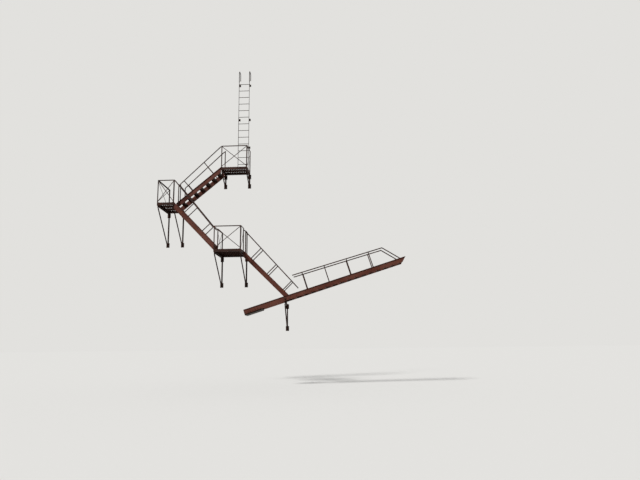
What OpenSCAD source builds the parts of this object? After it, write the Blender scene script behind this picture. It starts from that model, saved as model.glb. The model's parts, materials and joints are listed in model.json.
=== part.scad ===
// Fire escape stair that hangs on a building wall.
// Three slatted decks stand on wall brackets, with a flight of channel stringers between each
// pair, a ladder from the top platform to the roof, and a counterbalanced swing stair that
// drops to the pavement.
// X runs along the wall, Y points into the wall and Z up. The wall face is y = 0, and the
// origin is the middle of the upper wall plate of the balcony's right-hand bracket.

/* [Deck heights above the pavement] */
// Walking surface of the top platform
top_deck_h = 8800; // [8700:10:8900]
// Walking surface of the side landing
side_deck_h = 7200; // [7100:10:7300]
// Walking surface of the balcony
balcony_deck_h = 5300; // [5250:10:5350]

/* [Deck ends along the wall] */
// Left end of the top platform
top_left_x = -960; // [-1000:5:-900]
// Right end of the top platform
top_right_x = 110; // [90:5:150]
// Left end of the side landing
side_left_x = -3320; // [-3400:5:-3280]
// Right end of the side landing
side_right_x = -2650; // [-2700:5:-2600]
// Left end of the balcony
balcony_left_x = -1035; // [-1060:5:-1000]
// Right end of the balcony, past the bracket that holds the origin
balcony_right_x = 30; // [30:5:60]

/* [Decks] */
// Depth of the top platform from the wall
top_depth = 800; // [780:5:850]
// Depth of the side landing and of the balcony from the wall
deck_depth = 1450; // [1430:5:1500]
// Clear space between the wall and a deck's back channel
wall_gap = 20; // [12:1:40]
// Depth of the deck frame channels
frame_depth = 100; // [80:5:120]
// Flange width of the deck frame channels
frame_flange = 45; // [35:1:55]
// Thickness of the deck frame channels
frame_wall = 6; // [5:0.5:8]
// Width of a deck slat
slat_w = 50; // [40:1:60]
// Thickness of a deck slat
slat_t = 6; // [5:0.5:10]
// Least gap between two slats
slat_gap = 22; // [15:1:30]

/* [Wall brackets] */
// Width of the tee bars
tee_w = 60; // [50:1:60]
// Width of the pivot bracket's tee bars
pivot_tee_w = 50; // [40:1:50]
// Thickness of the tee bars
tee_t = 8; // [6:0.5:10]
// Width of the diagonal strut
strut_w = 50; // [40:1:60]
// Thickness of the diagonal strut
strut_t = 10; // [8:0.5:12]
// How far each top platform bracket reaches below its deck
top_bracket_drop = 600; // [560:10:700]
// How far each side landing bracket reaches below its deck
side_bracket_drop = 1450; // [1350:10:1550]
// How far each balcony bracket reaches below its deck
balcony_bracket_drop = 1245; // [1150:5:1350]
// Width of a wall plate
plate_w = 130; // [120:2:150]
// Height of a wall plate
plate_h = 190; // [180:2:220]
// Thickness of a wall plate
plate_t = 10; // [8:0.5:14]
// Radius of the wall bolt holes
bolt_r = 9; // [7:0.5:11]
// Distance between wall bolts along the wall
bolt_dx = 90; // [84:1:96]
// Distance between wall bolts up the wall
bolt_dz = 140; // [120:1:150]

/* [Rails] */
// Height of the deck rails
rail_h = 920; // [860:10:1000]
// Leg of the rail angles
angle_leg = 40; // [30:1:50]
// Thickness of the rail angles
angle_t = 5; // [4:0.5:6]
// How far the foot plate of an angle post reaches past its legs
post_foot = 26; // [20:1:30]
// Thickness of the foot plates under the rail posts
post_foot_t = 6; // [5:0.5:8]
// Width of the cross braces
brace_w = 25; // [20:1:35]
// Thickness of the cross braces
brace_t = 5; // [4:0.5:6]
// Distance of the cross braces' ends from the deck and from the rail's top
brace_inset = 36; // [30:1:60]
// Height of a handrail above the deck edge at the top of a flight
rail_high = 890; // [860:10:900]
// Height of the upper and middle handrails above the last nosing
rail_low = 720; // [680:10:760]
// Length of the handrails' level ends
level_end = 36; // [30:1:60]
// How far the upper handrails stop short of the side landing
upper_rail_short = 20; // [10:1:40]
// How far the middle handrails end below the balcony's rail
middle_rail_drop = 20; // [10:1:40]
// How far the lower handrails start below the height of the others
lower_rail_drop = 40; // [20:5:60]
// How far the free end of a lower handrail lies out from the pivot
lower_rail_out = 485; // [440:5:520]
// Height of the free end of a lower handrail above the pivot
lower_rail_up = 456; // [430:2:500]
// Width of the flat posts of the flight rails
post_w = 36; // [30:1:38]
// Thickness of the flat posts of the flight rails
post_t = 8; // [6:0.5:10]
// Length of the foot plates of the flat posts
flat_foot = 60; // [50:2:70]
// Distance of the flat posts' foot plates from the edges of the flange
flat_foot_in = 2; // [1:0.5:4]
// How far a newel stands in from the end of its handrail
newel_in = 4; // [2:1:8]
// Distance of the upper flight's first rail post down its stringer
upper_first_post = 400; // [360:10:500]
// Distance between the upper flight's rail posts
upper_post_pitch = 1100; // [900:10:1200]
// Distance of the middle flight's first rail post down its stringer
middle_first_post = 600; // [500:10:650]
// Distance between the middle flight's rail posts
middle_post_pitch = 1050; // [900:10:1200]
// Distance of the lower flight's first rail post down its stringer
lower_first_post = 420; // [380:10:500]
// Distance between the lower flight's rail posts
lower_post_pitch = 890; // [800:10:1000]

/* [Flights] */
// Depth of the channel stringers
stringer_depth = 178; // [152:1:190]
// Flange width of the channel stringers
stringer_flange = 40; // [34:1:46]
// Thickness of the channel stringers
stringer_t = 6; // [5:0.5:8]
// How far the stringer's top stands above the nosing line
nosing_inset = 10; // [5:1:20]
// Depth of a tread from nosing to back
tread_d = 200; // [180:1:205]
// Thickness of the bent tread plate
tread_t = 4; // [3:0.5:6]
// Height of a tread's turned-down edges
tread_edge = 32; // [25:1:40]
// How far the upper stringers stand in over the side landing
foot_run = 110; // [90:5:140]
// Leg of the angle cleats that hold the stringers to the decks
cleat_leg = 40; // [35:1:45]
// Thickness of the angle cleats
cleat_t = 6; // [5:0.5:8]
// Length of the angle cleats
cleat_len = 70; // [60:1:80]
// Risers of the upper flight
upper_risers = 8; // [8:1:8]
// Risers of the middle flight
middle_risers = 9; // [9:1:9]
// Treads of the lower flight
lower_treads = 9; // [9:1:9]
// Rise of the lower flight's steps
lower_rise = 196; // [190:0.5:200]
// Going of the lower flight's steps
lower_going = 197; // [195:0.5:200]
// Clear width of the upper flight's treads
upper_clear = 600; // [560:2:600]
// Clear width of the middle flight's treads
middle_clear = 560; // [520:2:560]
// Clear width of the lower flight's treads
lower_clear = 468; // [440:2:480]
// Distance from the wall to the middle of the lower flight and the swing stair
lower_lane = 590; // [570:5:610]

/* [Swing stair] */
// Distance of the pivot below the lower flight's nosing line
pivot_drop = 186; // [186:1:200]
// Angle of the swing stair above level when raised
raised_angle = 17.4; // [15:0.1:19]
// Angle of the swing stair below level when lowered
lowered_angle = 44.4; // [44:0.1:44.8]
// Length of the counterweight arms
arm_len = 1670; // [1600:5:1750]
// Clearance on each side between the swing stringers and the lower flight
side_clearance = 12; // [8:1:20]
// Distance between treads along the swing stair
swing_pitch = 300; // [300:1:310]
// Distance of the first tread from the pivot
first_tread_u = 250; // [250:1:260]
// Start of the swing stair's handrail, out from the pivot
swing_rail_start = 537; // [500:1:580]
// Height of the handrail's start above the swing stair's middle line
swing_rail_high = 785; // [740:5:820]
// Height of the handrail's bend above the swing stair's middle line
swing_rail_low = 704; // [680:2:740]
// How far the handrail's foot stays back from the end of the swing stringer's top
swing_rail_back = 222; // [200:1:260]
// Run of the handrail's sloping end
swing_rail_slope_run = 527; // [480:1:560]
// Distance of the swing stair's first rail post from the pivot
swing_first_post = 930; // [880:5:980]
// Distance between the swing stair's rail posts
swing_post_pitch = 897; // [800:1:950]
// Clearance of the foot above the pavement when lowered
foot_gap = 10; // [5:1:30]
// Radius of the pivot shaft
shaft_r = 22; // [20:0.5:25]
// Running clearance of the shaft in its bores
shaft_gap = 0.05; // [0.03:0.01:0.1]
// Outer radius of the hubs
hub_r = 45; // [40:1:50]
// How far the lower stringers stop short of the pivot
lower_end_back = 20; // [20:1:24]
// Height of the hanger plates above the pivot
hanger_top = 110; // [100:1:120]
// How far a hanger plate's top reaches back along the lower stringer
hanger_back = 75; // [70:1:90]
// How far a hanger plate's top reaches out past the pivot
hanger_front = 30; // [20:1:40]
// Thickness of a hanger plate
hanger_t = 10; // [8:0.5:12]
// Width and thickness of the collars on the shaft's ends
collar = 10; // [6:1:14]
// Clearance between a collar and the swing stair's hub
collar_gap = 6; // [2:1:8]
// Length of the counterweight along the arms
weight_len = 700; // [600:5:720]
// Thickness of the counterweight
weight_t = 146; // [100:1:160]
// Height of the counterweight's top above the pivot
weight_top = 14; // [0:1:16]
// Grooves across the counterweight
groove_count = 6; // [6:1:6]
// Width of a groove
groove_w = 4; // [3:0.5:6]
// Depth of a groove
groove_d = 6; // [4:0.5:8]
// Distance of the lugs that stop the raised stair from the pivot
lug_out = 85; // [80:1:90]
// Width of the lugs
lug_w = 40; // [30:1:50]
// Thickness of the lugs
lug_t = 30; // [20:1:30]
// How far the lugs stay back from the edge of the swing stringer's flange
lug_in = 4; // [2:1:8]

/* [Pivot bracket] */
// Distance of the bracket's arm below the shaft
pedestal_h = 159; // [155:1:170]
// Thickness of a pedestal
pedestal_t = 32; // [24:1:36]
// How far the pivot bracket reaches below its arm
pivot_bracket_drop = 1060; // [950:5:1150]
// How far the bracket's arm reaches out past the swing stair
pivot_arm_past = 14; // [10:1:20]
// Clearance between a pedestal and the lower stringer
pedestal_gap = 12; // [8:1:16]
// How far a pedestal's foot reaches out on each side
pedestal_foot = 20; // [16:1:24]
// Thickness of a pedestal's foot
pedestal_foot_t = 12; // [8:1:14]

/* [Roof ladder] */
// Top of the wall above the pavement
wall_top_h = 13000; // [12800:10:13200]
// Left stile from the origin
ladder_left_x = -386; // [-400:1:-360]
// Distance between the stiles
ladder_w = 440; // [400:5:460]
// Distance from the wall to the stiles
ladder_off = 200; // [170:5:230]
// Width of a stile
stile_w = 50; // [40:1:60]
// Thickness of a stile
stile_t = 10; // [8:0.5:12]
// Diameter of the round bars that hook over the wall
hook_d = 30; // [24:1:34]
// Radius of the hooks' bends, to the middle of the bar
bend_r = 100; // [60:5:140]
// Diameter of a rung
rung_d = 22; // [18:1:25]
// Distance between rungs
rung_pitch = 300; // [280:5:320]
// Least distance of the top rung below the wall's top
rung_short = 150; // [120:5:200]
// Distance of the stiles' ends below the wall's top
stile_short = 100; // [80:5:140]
// How far the hooks' bars run down over the stiles from the wall's top
hook_lap = 200; // [180:5:260]
// Height of the hooks above the wall's top
hook_rise = 330; // [300:5:360]
// Reach of the hooks over the wall
hook_reach = 290; // [270:5:320]
// Distance of the highest standoffs below the wall's top
standoff_first = 270; // [240:5:320]
// Distance of the second standoffs below the wall's top
standoff_second = 1850; // [1700:10:2000]
// Distance of the right stile's third standoff below the wall's top
standoff_third = 3100; // [2900:10:3300]
// Width of a standoff
standoff_w = 40; // [30:1:50]
// Width of a standoff's wall pad
pad_w = 80; // [70:1:90]
// Height of a wall pad
pad_h = 100; // [80:2:120]
// Thickness of a wall pad
pad_t = 8; // [6:0.5:10]
// Distance between a wall pad's bolts
pad_bolt_dx = 50; // [44:1:56]
// Radius of a wall pad's bolt holes
pad_bolt_r = 6; // [5:0.5:8]
// Side of a stile's foot plate
stile_foot = 90; // [80:2:110]
// Thickness of a stile's foot plate
stile_foot_t = 8; // [6:0.5:10]

/* [Hidden] */
$fn = 28;

paint = "#5a3a33";
dark_paint = "#3f2a26";
iron = "#352621";

// The origin is the middle of the upper wall plate of the balcony's right bracket
origin_h = balcony_deck_h - slat_t - frame_depth - plate_h / 2;
top_z = top_deck_h - origin_h;
side_z = side_deck_h - origin_h;
balcony_z = balcony_deck_h - origin_h;
wall_top_z = wall_top_h - origin_h;

// Lanes of the flights, measured from the wall to the middle of the treads
upper_half = upper_clear / 2 + stringer_flange;
middle_half = middle_clear / 2 + stringer_flange;
upper_lane = top_depth - upper_half;
middle_lane = deck_depth - middle_half;
flange_mid = stringer_flange / 2;

// Slopes: rise over run along the nosing line, with the sign of the walking-down direction
upper_run = top_left_x - side_right_x;
middle_run = balcony_left_x - side_right_x;
upper_rise = (top_z - side_z) / upper_risers;
middle_rise = (side_z - balcony_z) / middle_risers;
upper_m = (top_z - side_z - upper_rise) / upper_run;
middle_m = (balcony_z + middle_rise - side_z) / middle_run;
lower_m = -lower_rise / lower_going;
upper_start = [top_left_x, top_z];
middle_start = [side_right_x, side_z];
lower_start = [balcony_right_x, balcony_z];

// The pivot of the swing stair lies square below the lower flight's last nosing
lower_slope = atan(-lower_m);
down_dir = [cos(lower_slope), -sin(lower_slope)];
up_dir = [sin(lower_slope), cos(lower_slope)];
pivot = lower_start + lower_treads * [lower_going, -lower_rise] - pivot_drop * up_dir;
pivot_h = pivot[1] + origin_h;
lower_toe = lower_clear / 2 + stringer_flange;
swing_half = lower_toe + side_clearance;
half_depth = stringer_depth / 2;

// Ends of the swing stringers' lower and upper edges, cut level for the lowered stair
foot_low = (pivot_h - foot_gap - half_depth * cos(lowered_angle)) / sin(lowered_angle);
foot_high = (pivot_h - foot_gap + half_depth * cos(lowered_angle)) / sin(lowered_angle);
swing_tread_count = floor((foot_low - first_tread_u) / swing_pitch) + 1;

// Clearance under what stands on a sloping flange
seat_gap = 0.3;

// Height of the line through p with slope m at x, raised by off
function line_z(p, m, x, off = 0) = p[1] + (x - p[0]) * m + off;

// Place along the same line where it reaches height z
function line_x(p, m, z, off = 0) = p[0] + (z - off - p[1]) / m;

// Point of the lower flight at s along it from the pivot and n square above the pivot
function at_end(s, n) = pivot + s * down_dir + n * up_dir;

// Thin plate parallel to the wall from y to y + t, with its outline in x and z
module plate_xz(points, y, t) {
    translate([0, y + t, 0])
        rotate([90, 0, 0])
            linear_extrude(t)
                polygon(points);
}

// Flat bar between two points of a plane parallel to the wall
module flat_xz(p, q, y, w, t) {
    run = q - p;
    translate([p[0], y, p[1]])
        rotate([0, -atan2(run[1], run[0]), 0])
            translate([0, 0, -w / 2])
                cube([norm(run), t, w]);
}

// Thin plate square to the wall from x to x + t, with its outline in y and z
module plate_yz(points, x, t) {
    translate([x, 0, 0])
        rotate([90, 0, 90])
            linear_extrude(t)
                polygon(points);
}

// Outline of a slanted flat bar of width w from p to q, with plumb ends
function slanted(p, q, w) =
    let (k = w / 2 * norm(q - p) / abs(q[0] - p[0]))
    [[p[0], p[1] - k], [q[0], q[1] - k], [q[0], q[1] + k], [p[0], p[1] + k]];

// The two outlines of crossed flats in a panel from p to q, low left to high right
function crossed(p, q) = [
    slanted(p, q, brace_w),
    slanted([p[0], q[1]], [q[0], p[1]], brace_w)
];

// Direction of a path's leg after point i, and its turn at point i, between -180 and 180
function heading(path, i) = atan2(path[i + 1][1] - path[i][1], path[i + 1][0] - path[i][0]);
function wrap(a) = a > 180 ? a - 360 : a < -180 ? a + 360 : a;
function turn(path, i) = wrap(heading(path, i) - heading(path, i - 1));

// Length that the bend at point i takes from each of the legs that meet there
function trim(path, i) =
    i == 0 || i == len(path) - 1 ? 0 : bend_r * tan(abs(turn(path, i)) / 2);

// Round bar along a flat path, with a round bend at each inner point
module bent_rod(path, d) {
    for (i = [0 : len(path) - 2])
        translate(path[i])
            rotate([0, 0, heading(path, i)])
                translate([trim(path, i), 0, 0])
                    rotate([0, 90, 0])
                        cylinder(d = d, h = norm(path[i + 1] - path[i]) - trim(path, i) - trim(path, i + 1));
    if (len(path) > 2)
        for (i = [1 : len(path) - 2]) {
            way = turn(path, i) > 0 ? 1 : -1;
            translate(path[i])
                rotate([0, 0, heading(path, i - 1)])
                    translate([-trim(path, i), way * bend_r, 0])
                        rotate([0, 0, way > 0 ? -90 : 90 + turn(path, i)])
                            rotate_extrude(angle = abs(turn(path, i)))
                                translate([bend_r, 0])
                                    circle(d = d);
        }
}

// Unit vector square to the path's leg after point i, on its left
function left_of(path, i) = [-sin(heading(path, i)), cos(heading(path, i))];

// End of the path moved d to its left, cut square, or level at floor where that is given
function path_end(path, d, floor) =
    let (i = len(path) - 1, a = heading(path, i - 1), p = path[i] + d * left_of(path, i - 1))
    is_undef(floor) ? p : p + (floor - p[1]) / sin(a) * [cos(a), sin(a)];

// Corner i of the path moved d to its left, mitred where two legs meet
function corner(path, i, d, floor) =
    i == 0 ? path[0] + d * left_of(path, 0) :
    i == len(path) - 1 ? path_end(path, d, floor) :
    path[i] + d * (left_of(path, i - 1) + left_of(path, i))
        / (1 + left_of(path, i - 1) * left_of(path, i));

// Angle handrail whose top follows a path in x and z, its level leg centred on y.
// Its last end is square, or cut level to stand on floor.
module angle_rail(path, y, floor) {
    last = len(path) - 1;
    under = path[last][0] > path[0][0] ? -1 : 1;
    before = path[0] - angle_leg * [cos(heading(path, 0)), sin(heading(path, 0))];
    after = path[last] + 2 * angle_leg * [cos(heading(path, last - 1)), sin(heading(path, last - 1))];
    longer = [for (i = [0 : last]) i == 0 ? before : i == last ? after : path[i]];
    top = [for (i = [0 : last]) corner(path, i, 0, floor)];
    foot = [for (i = [0 : last]) corner(path, last - i, under * angle_leg, floor)];
    hollow_top = [for (i = [0 : last]) corner(longer, i, under * angle_t)];
    hollow_foot = [for (i = [0 : last]) corner(longer, last - i, under * (angle_leg + angle_t))];
    difference() {
        plate_xz(concat(top, foot), y - angle_leg / 2, angle_leg);
        plate_xz(concat(hollow_top, hollow_foot), y - angle_leg / 2 + angle_t, angle_leg);
    }
}

// Upright angle, its corner at (x, y) and its legs, leg long and t thick, towards qx and qy
module upright_angle(x, y, z, h, qx, qy, leg, t) {
    translate([x + min(0, qx * leg), y + min(0, qy * t), z])
        cube([leg, t, h]);
    translate([x + min(0, qx * t), y + min(0, qy * leg), z])
        cube([t, leg, h]);
}

// Rail post on a foot plate, its corner at (x, y) and its legs towards qx and qy
module angle_post(x, y, z, h, qx, qy) {
    plate = angle_leg + post_foot;
    translate([x + min(0, qx * plate), y + min(0, qy * plate), z])
        cube([plate, plate, post_foot_t]);
    upright_angle(x, y, z, h, qx, qy, angle_leg, angle_t);
}

// Cleat in the corner between a deck's edge at x and a stringer's web, whose inner face is at y.
// It points down the flight (dir) and to the treads (inwards), and is level with the frame below.
module edge_cleat(x, y, deck_z, dir, inwards) {
    upright_angle(
        x + dir * seat_gap, y, deck_z - slat_t - frame_depth, cleat_len, dir, inwards, cleat_leg, cleat_t
    );
}

// Cleat that lies on a deck along the foot of a stringer's web, with its middle at x
module foot_cleat(x, y, deck_z, inwards) {
    translate([x - cleat_len / 2, y + min(0, inwards * cleat_leg), deck_z])
        cube([cleat_len, cleat_leg, cleat_t]);
    translate([x - cleat_len / 2, y + min(0, inwards * cleat_t), deck_z])
        cube([cleat_len, cleat_t, cleat_leg]);
}

// Level angle along the wall, with its upright leg on the front
module rail_along_x(x0, x1, y, z) {
    translate([x0, y, z - angle_t])
        cube([x1 - x0, angle_leg, angle_t]);
    translate([x0, y, z - angle_leg])
        cube([x1 - x0, angle_t, angle_leg]);
}

// Level angle square to the wall, running inwards (dir) from the deck's end x
module rail_along_y(x, y0, y1, z, dir) {
    translate([x + min(0, dir * angle_leg), y0, z - angle_t])
        cube([angle_leg, y1 - y0, angle_t]);
    translate([x + min(0, dir * angle_t), y0, z - angle_leg])
        cube([angle_t, y1 - y0, angle_leg]);
}

// Front rail of a deck: two corner posts, the top angle and two crossed flats
module front_rail(x0, x1, depth, z) {
    color(dark_paint) {
        angle_post(x0, -depth, z, rail_h, 1, 1);
        angle_post(x1, -depth, z, rail_h, -1, 1);
        rail_along_x(x0, x1, -depth, z + rail_h);
        for (flat = crossed(
            [x0 + angle_leg / 2, z + brace_inset],
            [x1 - angle_leg / 2, z + rail_h - brace_inset]
        ))
            plate_xz(flat, -depth, brace_t);
    }
}

// Rail across a deck's end from y0 to y1, its posts at the given y values, each with its leg's side
module end_rail(x, dir, y0, y1, z, posts, braces) {
    color(dark_paint) {
        rail_along_y(x, y0, y1, z + rail_h, dir);
        for (post = posts)
            angle_post(x, post[0], z, rail_h, dir, post[1]);
        for (brace = braces, flat = crossed(
            [brace[0], z + brace_inset],
            [brace[1] - angle_leg / 2, z + rail_h - brace_inset]
        ))
            plate_yz(flat, x + min(0, dir * brace_t), brace_t);
    }
}

// Ring of channels round a deck, toes inwards, with bearers along the wall between them
module deck_frame(x0, x1, depth, z, bearers) {
    low = z - slat_t - frame_depth;
    color(paint) {
        difference() {
            translate([x0, -depth, low])
                cube([x1 - x0, depth - wall_gap, frame_depth]);
            translate([x0 + frame_wall, -depth + frame_wall, low + frame_wall])
                cube([
                    x1 - x0 - 2 * frame_wall,
                    depth - wall_gap - 2 * frame_wall,
                    frame_depth - 2 * frame_wall
                ]);
            translate([x0 + frame_flange, -depth + frame_flange, low - 1])
                cube([
                    x1 - x0 - 2 * frame_flange,
                    depth - wall_gap - 2 * frame_flange,
                    frame_depth + 2
                ]);
        }
        for (i = [1 : bearers])
            translate([
                x0 + frame_wall,
                -depth + i * (depth - wall_gap) / (bearers + 1) - frame_wall / 2,
                low + frame_wall
            ])
                cube([x1 - x0 - 2 * frame_wall, frame_wall, frame_depth - frame_wall]);
    }
}

// Flat slats laid on a deck frame, square to the wall
module deck_slats(x0, x1, depth, z) {
    count = floor((x1 - x0 + slat_gap) / (slat_w + slat_gap));
    pitch = (x1 - x0 - slat_w) / (count - 1);
    color(dark_paint)
        for (i = [0 : count - 1])
            translate([x0 + i * pitch, -depth, z - slat_t])
                cube([slat_w, depth - wall_gap, slat_t]);
}

// Wall plate with four bolt holes, its middle at height z
module wall_plate(x, z) {
    translate([x, 0, z])
        difference() {
            translate([-plate_w / 2, -plate_t, -plate_h / 2])
                cube([plate_w, plate_t, plate_h]);
            for (sx = [-1, 1], sz = [-1, 1])
                translate([sx * bolt_dx / 2, 1, sz * bolt_dz / 2])
                    rotate([90, 0, 0])
                        cylinder(r = bolt_r, h = plate_t + 2);
        }
}

// Triangular bracket: tee leg on the wall, tee arm on top, and a strut between them
module wall_bracket(x, z_top, depth, drop, w) {
    z_low = z_top - drop;
    color(paint) {
        wall_plate(x, z_top - plate_h / 2);
        wall_plate(x, z_low + plate_h / 2);
        translate([x - w / 2, -tee_t, z_low])
            cube([w, tee_t, drop]);
        translate([x - tee_t / 2, -w, z_low])
            cube([tee_t, w, drop]);
        translate([x - w / 2, -depth, z_top - tee_t])
            cube([w, depth, tee_t]);
        translate([x - tee_t / 2, -depth, z_top - w])
            cube([tee_t, depth, w]);
        plate_yz(slanted(
            [-depth + strut_w, z_top - w],
            [-w / 2, z_low + strut_w],
            strut_w
        ), x - strut_t / 2, strut_t);
    }
}

// Bent tread plate from its nosing back, with turned-down front and back edges
module tread(dir, width) {
    translate([0, width / 2, 0])
        rotate([90, 0, 0])
            linear_extrude(width)
                polygon([
                    [0, 0],
                    [0, -tread_edge],
                    [-dir * tread_t, -tread_edge],
                    [-dir * tread_t, -tread_t],
                    [-dir * (tread_d - tread_t), -tread_t],
                    [-dir * (tread_d - tread_t), -tread_edge],
                    [-dir * tread_d, -tread_edge],
                    [-dir * tread_d, 0]
                ]);
}

// Treads of a flight that goes down from the nosing point start towards dir
module flight_treads(start, dir, rise, going, count, lane, width) {
    color(dark_paint)
        for (i = [1 : count])
            translate([start[0] + dir * i * going, -lane, start[1] - i * rise])
                tread(dir, width);
}

// Channel stringer from a deck's edge down to x_foot, cut plumb there, or standing on the
// deck at z_floor. start and m give the nosing line; the toes point to toe from y_web.
module deck_stringer(start, m, x_foot, y_web, toe, z_floor) {
    c = 1 / cos(atan(m));
    top = nosing_inset * c;
    low = (nosing_inset - stringer_depth) * c;
    skin = stringer_t * c;
    x0 = start[0];
    y_flange = toe > 0 ? y_web : y_web + stringer_t - stringer_flange;
    y_inside = toe > 0 ? y_web : y_web + stringer_t;
    stands = !is_undef(z_floor);
    web_foot = stands
        ? [[x_foot, z_floor], [line_x(start, m, z_floor, low), z_floor]]
        : [[x_foot, line_z(start, m, x_foot, low)]];
    flange_foot = stands
        ? [[line_x(start, m, z_floor, low + skin), z_floor], [line_x(start, m, z_floor, low), z_floor]]
        : [[x_foot, line_z(start, m, x_foot, low + skin)], [x_foot, line_z(start, m, x_foot, low)]];
    color(paint) {
        plate_xz(concat(
            [[x0, line_z(start, m, x0, top)], [x_foot, line_z(start, m, x_foot, top)]],
            web_foot,
            [[x0, line_z(start, m, x0, low)]]
        ), y_web, stringer_t);
        plate_xz([
            [x0, line_z(start, m, x0, top)],
            [x_foot, line_z(start, m, x_foot, top)],
            [x_foot, line_z(start, m, x_foot, top - skin)],
            [x0, line_z(start, m, x0, top - skin)]
        ], y_flange, stringer_flange);
        plate_xz(concat(
            [[x0, line_z(start, m, x0, low + skin)]],
            flange_foot,
            [[x0, line_z(start, m, x0, low)]]
        ), y_flange, stringer_flange);
        edge_cleat(x0, y_inside, start[1], m < 0 ? 1 : -1, -toe);
        if (stands)
            foot_cleat(x_foot + foot_run / 2, y_inside, z_floor, -toe);
    }
}

// Stringer of the lower flight, from the balcony's edge to the pivot, with the hanger plate
// that takes the shaft and the lug that stops the raised swing stair. side is +1 or -1.
module lower_stringer(side) {
    c = 1 / cos(lower_slope);
    top = nosing_inset * c;
    low = (nosing_inset - stringer_depth) * c;
    skin = stringer_t * c;
    x0 = lower_start[0];
    z0 = lower_start[1];
    end = -lower_end_back;
    n_top = pivot_drop + nosing_inset;
    n_low = n_top - stringer_depth;
    web = lower_clear / 2;
    y_web = -lower_lane + (side > 0 ? web : -web - stringer_t);
    y_flange = -lower_lane + (side > 0 ? web : -web - stringer_flange);
    y_hanger = -lower_lane + (side > 0 ? web : -web - hanger_t);
    color(paint) {
        plate_xz([
            [x0, z0 + top], at_end(end, n_top), at_end(end, n_low), [x0, z0 + low]
        ], y_web, stringer_t);
        plate_xz([
            [x0, z0 + top], at_end(end, n_top),
            at_end(end, n_top - stringer_t), [x0, z0 + top - skin]
        ], y_flange, stringer_flange);
        plate_xz([
            [x0, z0 + low + skin], at_end(end, n_low + stringer_t),
            at_end(end, n_low), [x0, z0 + low]
        ], y_flange, stringer_flange);
        difference() {
            union() {
                plate_xz([
                    at_end(-hanger_back, hanger_top), at_end(hanger_front, hanger_top),
                    at_end(hub_r, 0), at_end(-hub_r, 0)
                ], y_hanger, hanger_t);
                translate([pivot[0], y_hanger + hanger_t, pivot[1]])
                    rotate([90, 0, 0])
                        cylinder(r = hub_r, h = hanger_t);
            }
            translate([pivot[0], y_hanger + hanger_t + 1, pivot[1]])
                rotate([90, 0, 0])
                    cylinder(r = shaft_r + shaft_gap, h = hanger_t + 2);
        }
        reach = swing_half + stringer_flange - lug_in - web;
        swing_frame()
            translate([lug_out, side > 0 ? web : -web - reach, half_depth + seat_gap])
                cube([lug_w, reach, lug_t]);
        edge_cleat(x0, -lower_lane + side * web, z0, 1, -side);
    }
}

// The raised swing stair's own frame: x out along the stair, y = 0 in its middle, z square up
module swing_frame() {
    translate([pivot[0], -lower_lane, pivot[1]])
        rotate([0, -raised_angle, 0])
            children();
}

// Distance along the rail from a to b at which the normal from foot meets it, and the height up that normal
function met(foot, normal, a, b) =
    let (run = b - a, gap = foot - a, across = normal[0] * run[1] - normal[1] * run[0])
    [
        (normal[0] * gap[1] - normal[1] * gap[0]) / across * norm(run),
        (run[0] * gap[1] - run[1] * gap[0]) / across
    ];

// Flat posts square to a stringer, spaced evenly from its top flange to the rail from a to b
module square_posts(start, m, first, pitch, a, b, y) {
    slope = atan(m);
    along = m > 0 ? [-cos(slope), -sin(slope)] : [cos(slope), sin(slope)];
    normal = [-sin(slope), cos(slope)];
    for (s = [first : pitch : 2 * norm(b - a)]) {
        foot = start + s * along + (nosing_inset + seat_gap) * normal;
        place = met(foot, normal, a, b);
        if (place[0] < norm(b - a) - 2 * post_w) {
            flat_xz(foot, foot + (place[1] - angle_t / 2) * normal, y - post_t / 2, post_w, post_t);
            middle = foot + post_foot_t / 2 * normal;
            flat_xz(
                middle - flat_foot / 2 * along, middle + flat_foot / 2 * along,
                y - flange_mid + flat_foot_in, post_foot_t, stringer_flange - 2 * flat_foot_in
            );
        }
    }
}

// Handrail with a level end on the upper post and a plumb newel on the stringer's low end
module flight_rail(start, m, x_low, y, first, pitch, x_post) {
    dir = m < 0 ? 1 : -1;
    c = 1 / cos(atan(m));
    low = [x_low, line_z(start, m, x_low) + rail_low];
    high = [x_post + dir * level_end, start[1] + rail_high];
    rail_m = (high[1] - low[1]) / (high[0] - low[0]);
    near = x_low - dir * newel_in;
    far = near - dir * post_w;
    color(dark_paint) {
        angle_rail([[x_post, high[1]], high, low], y);
        square_posts(start, m, first, pitch, high, low, y);
        plate_xz([
            [near, line_z(start, m, near, (nosing_inset + seat_gap) * c)],
            [far, line_z(start, m, far, (nosing_inset + seat_gap) * c)],
            [far, line_z(low, rail_m, far, -angle_t / 2)],
            [near, line_z(low, rail_m, near, -angle_t / 2)]
        ], y - post_t / 2, post_t);
    }
}

// Handrail between two posts, level at both ends
module post_to_post_rail(start, m, x_post, x_low, z_low, y, first, pitch) {
    z_high = start[1] + rail_high;
    high = [x_post + level_end, z_high];
    low = [x_low - level_end, z_low];
    color(dark_paint) {
        angle_rail([[x_post, z_high], high, low, [x_low, z_low]], y);
        square_posts(start, m, first, pitch, high, low, y);
    }
}

// Handrail of the lower flight: from the balcony newel to a free end past the last tread
module lower_rail(side) {
    y = -lower_lane + side * (lower_clear / 2 + flange_mid);
    z_high = lower_start[1] + rail_high - lower_rail_drop;
    high = [lower_start[0] + level_end, z_high];
    free = pivot + [lower_rail_out, lower_rail_up];
    color(dark_paint) {
        angle_rail([[lower_start[0], z_high], high, free], y);
        square_posts(lower_start, lower_m, lower_first_post, lower_post_pitch, high, free, y);
    }
}

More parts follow.
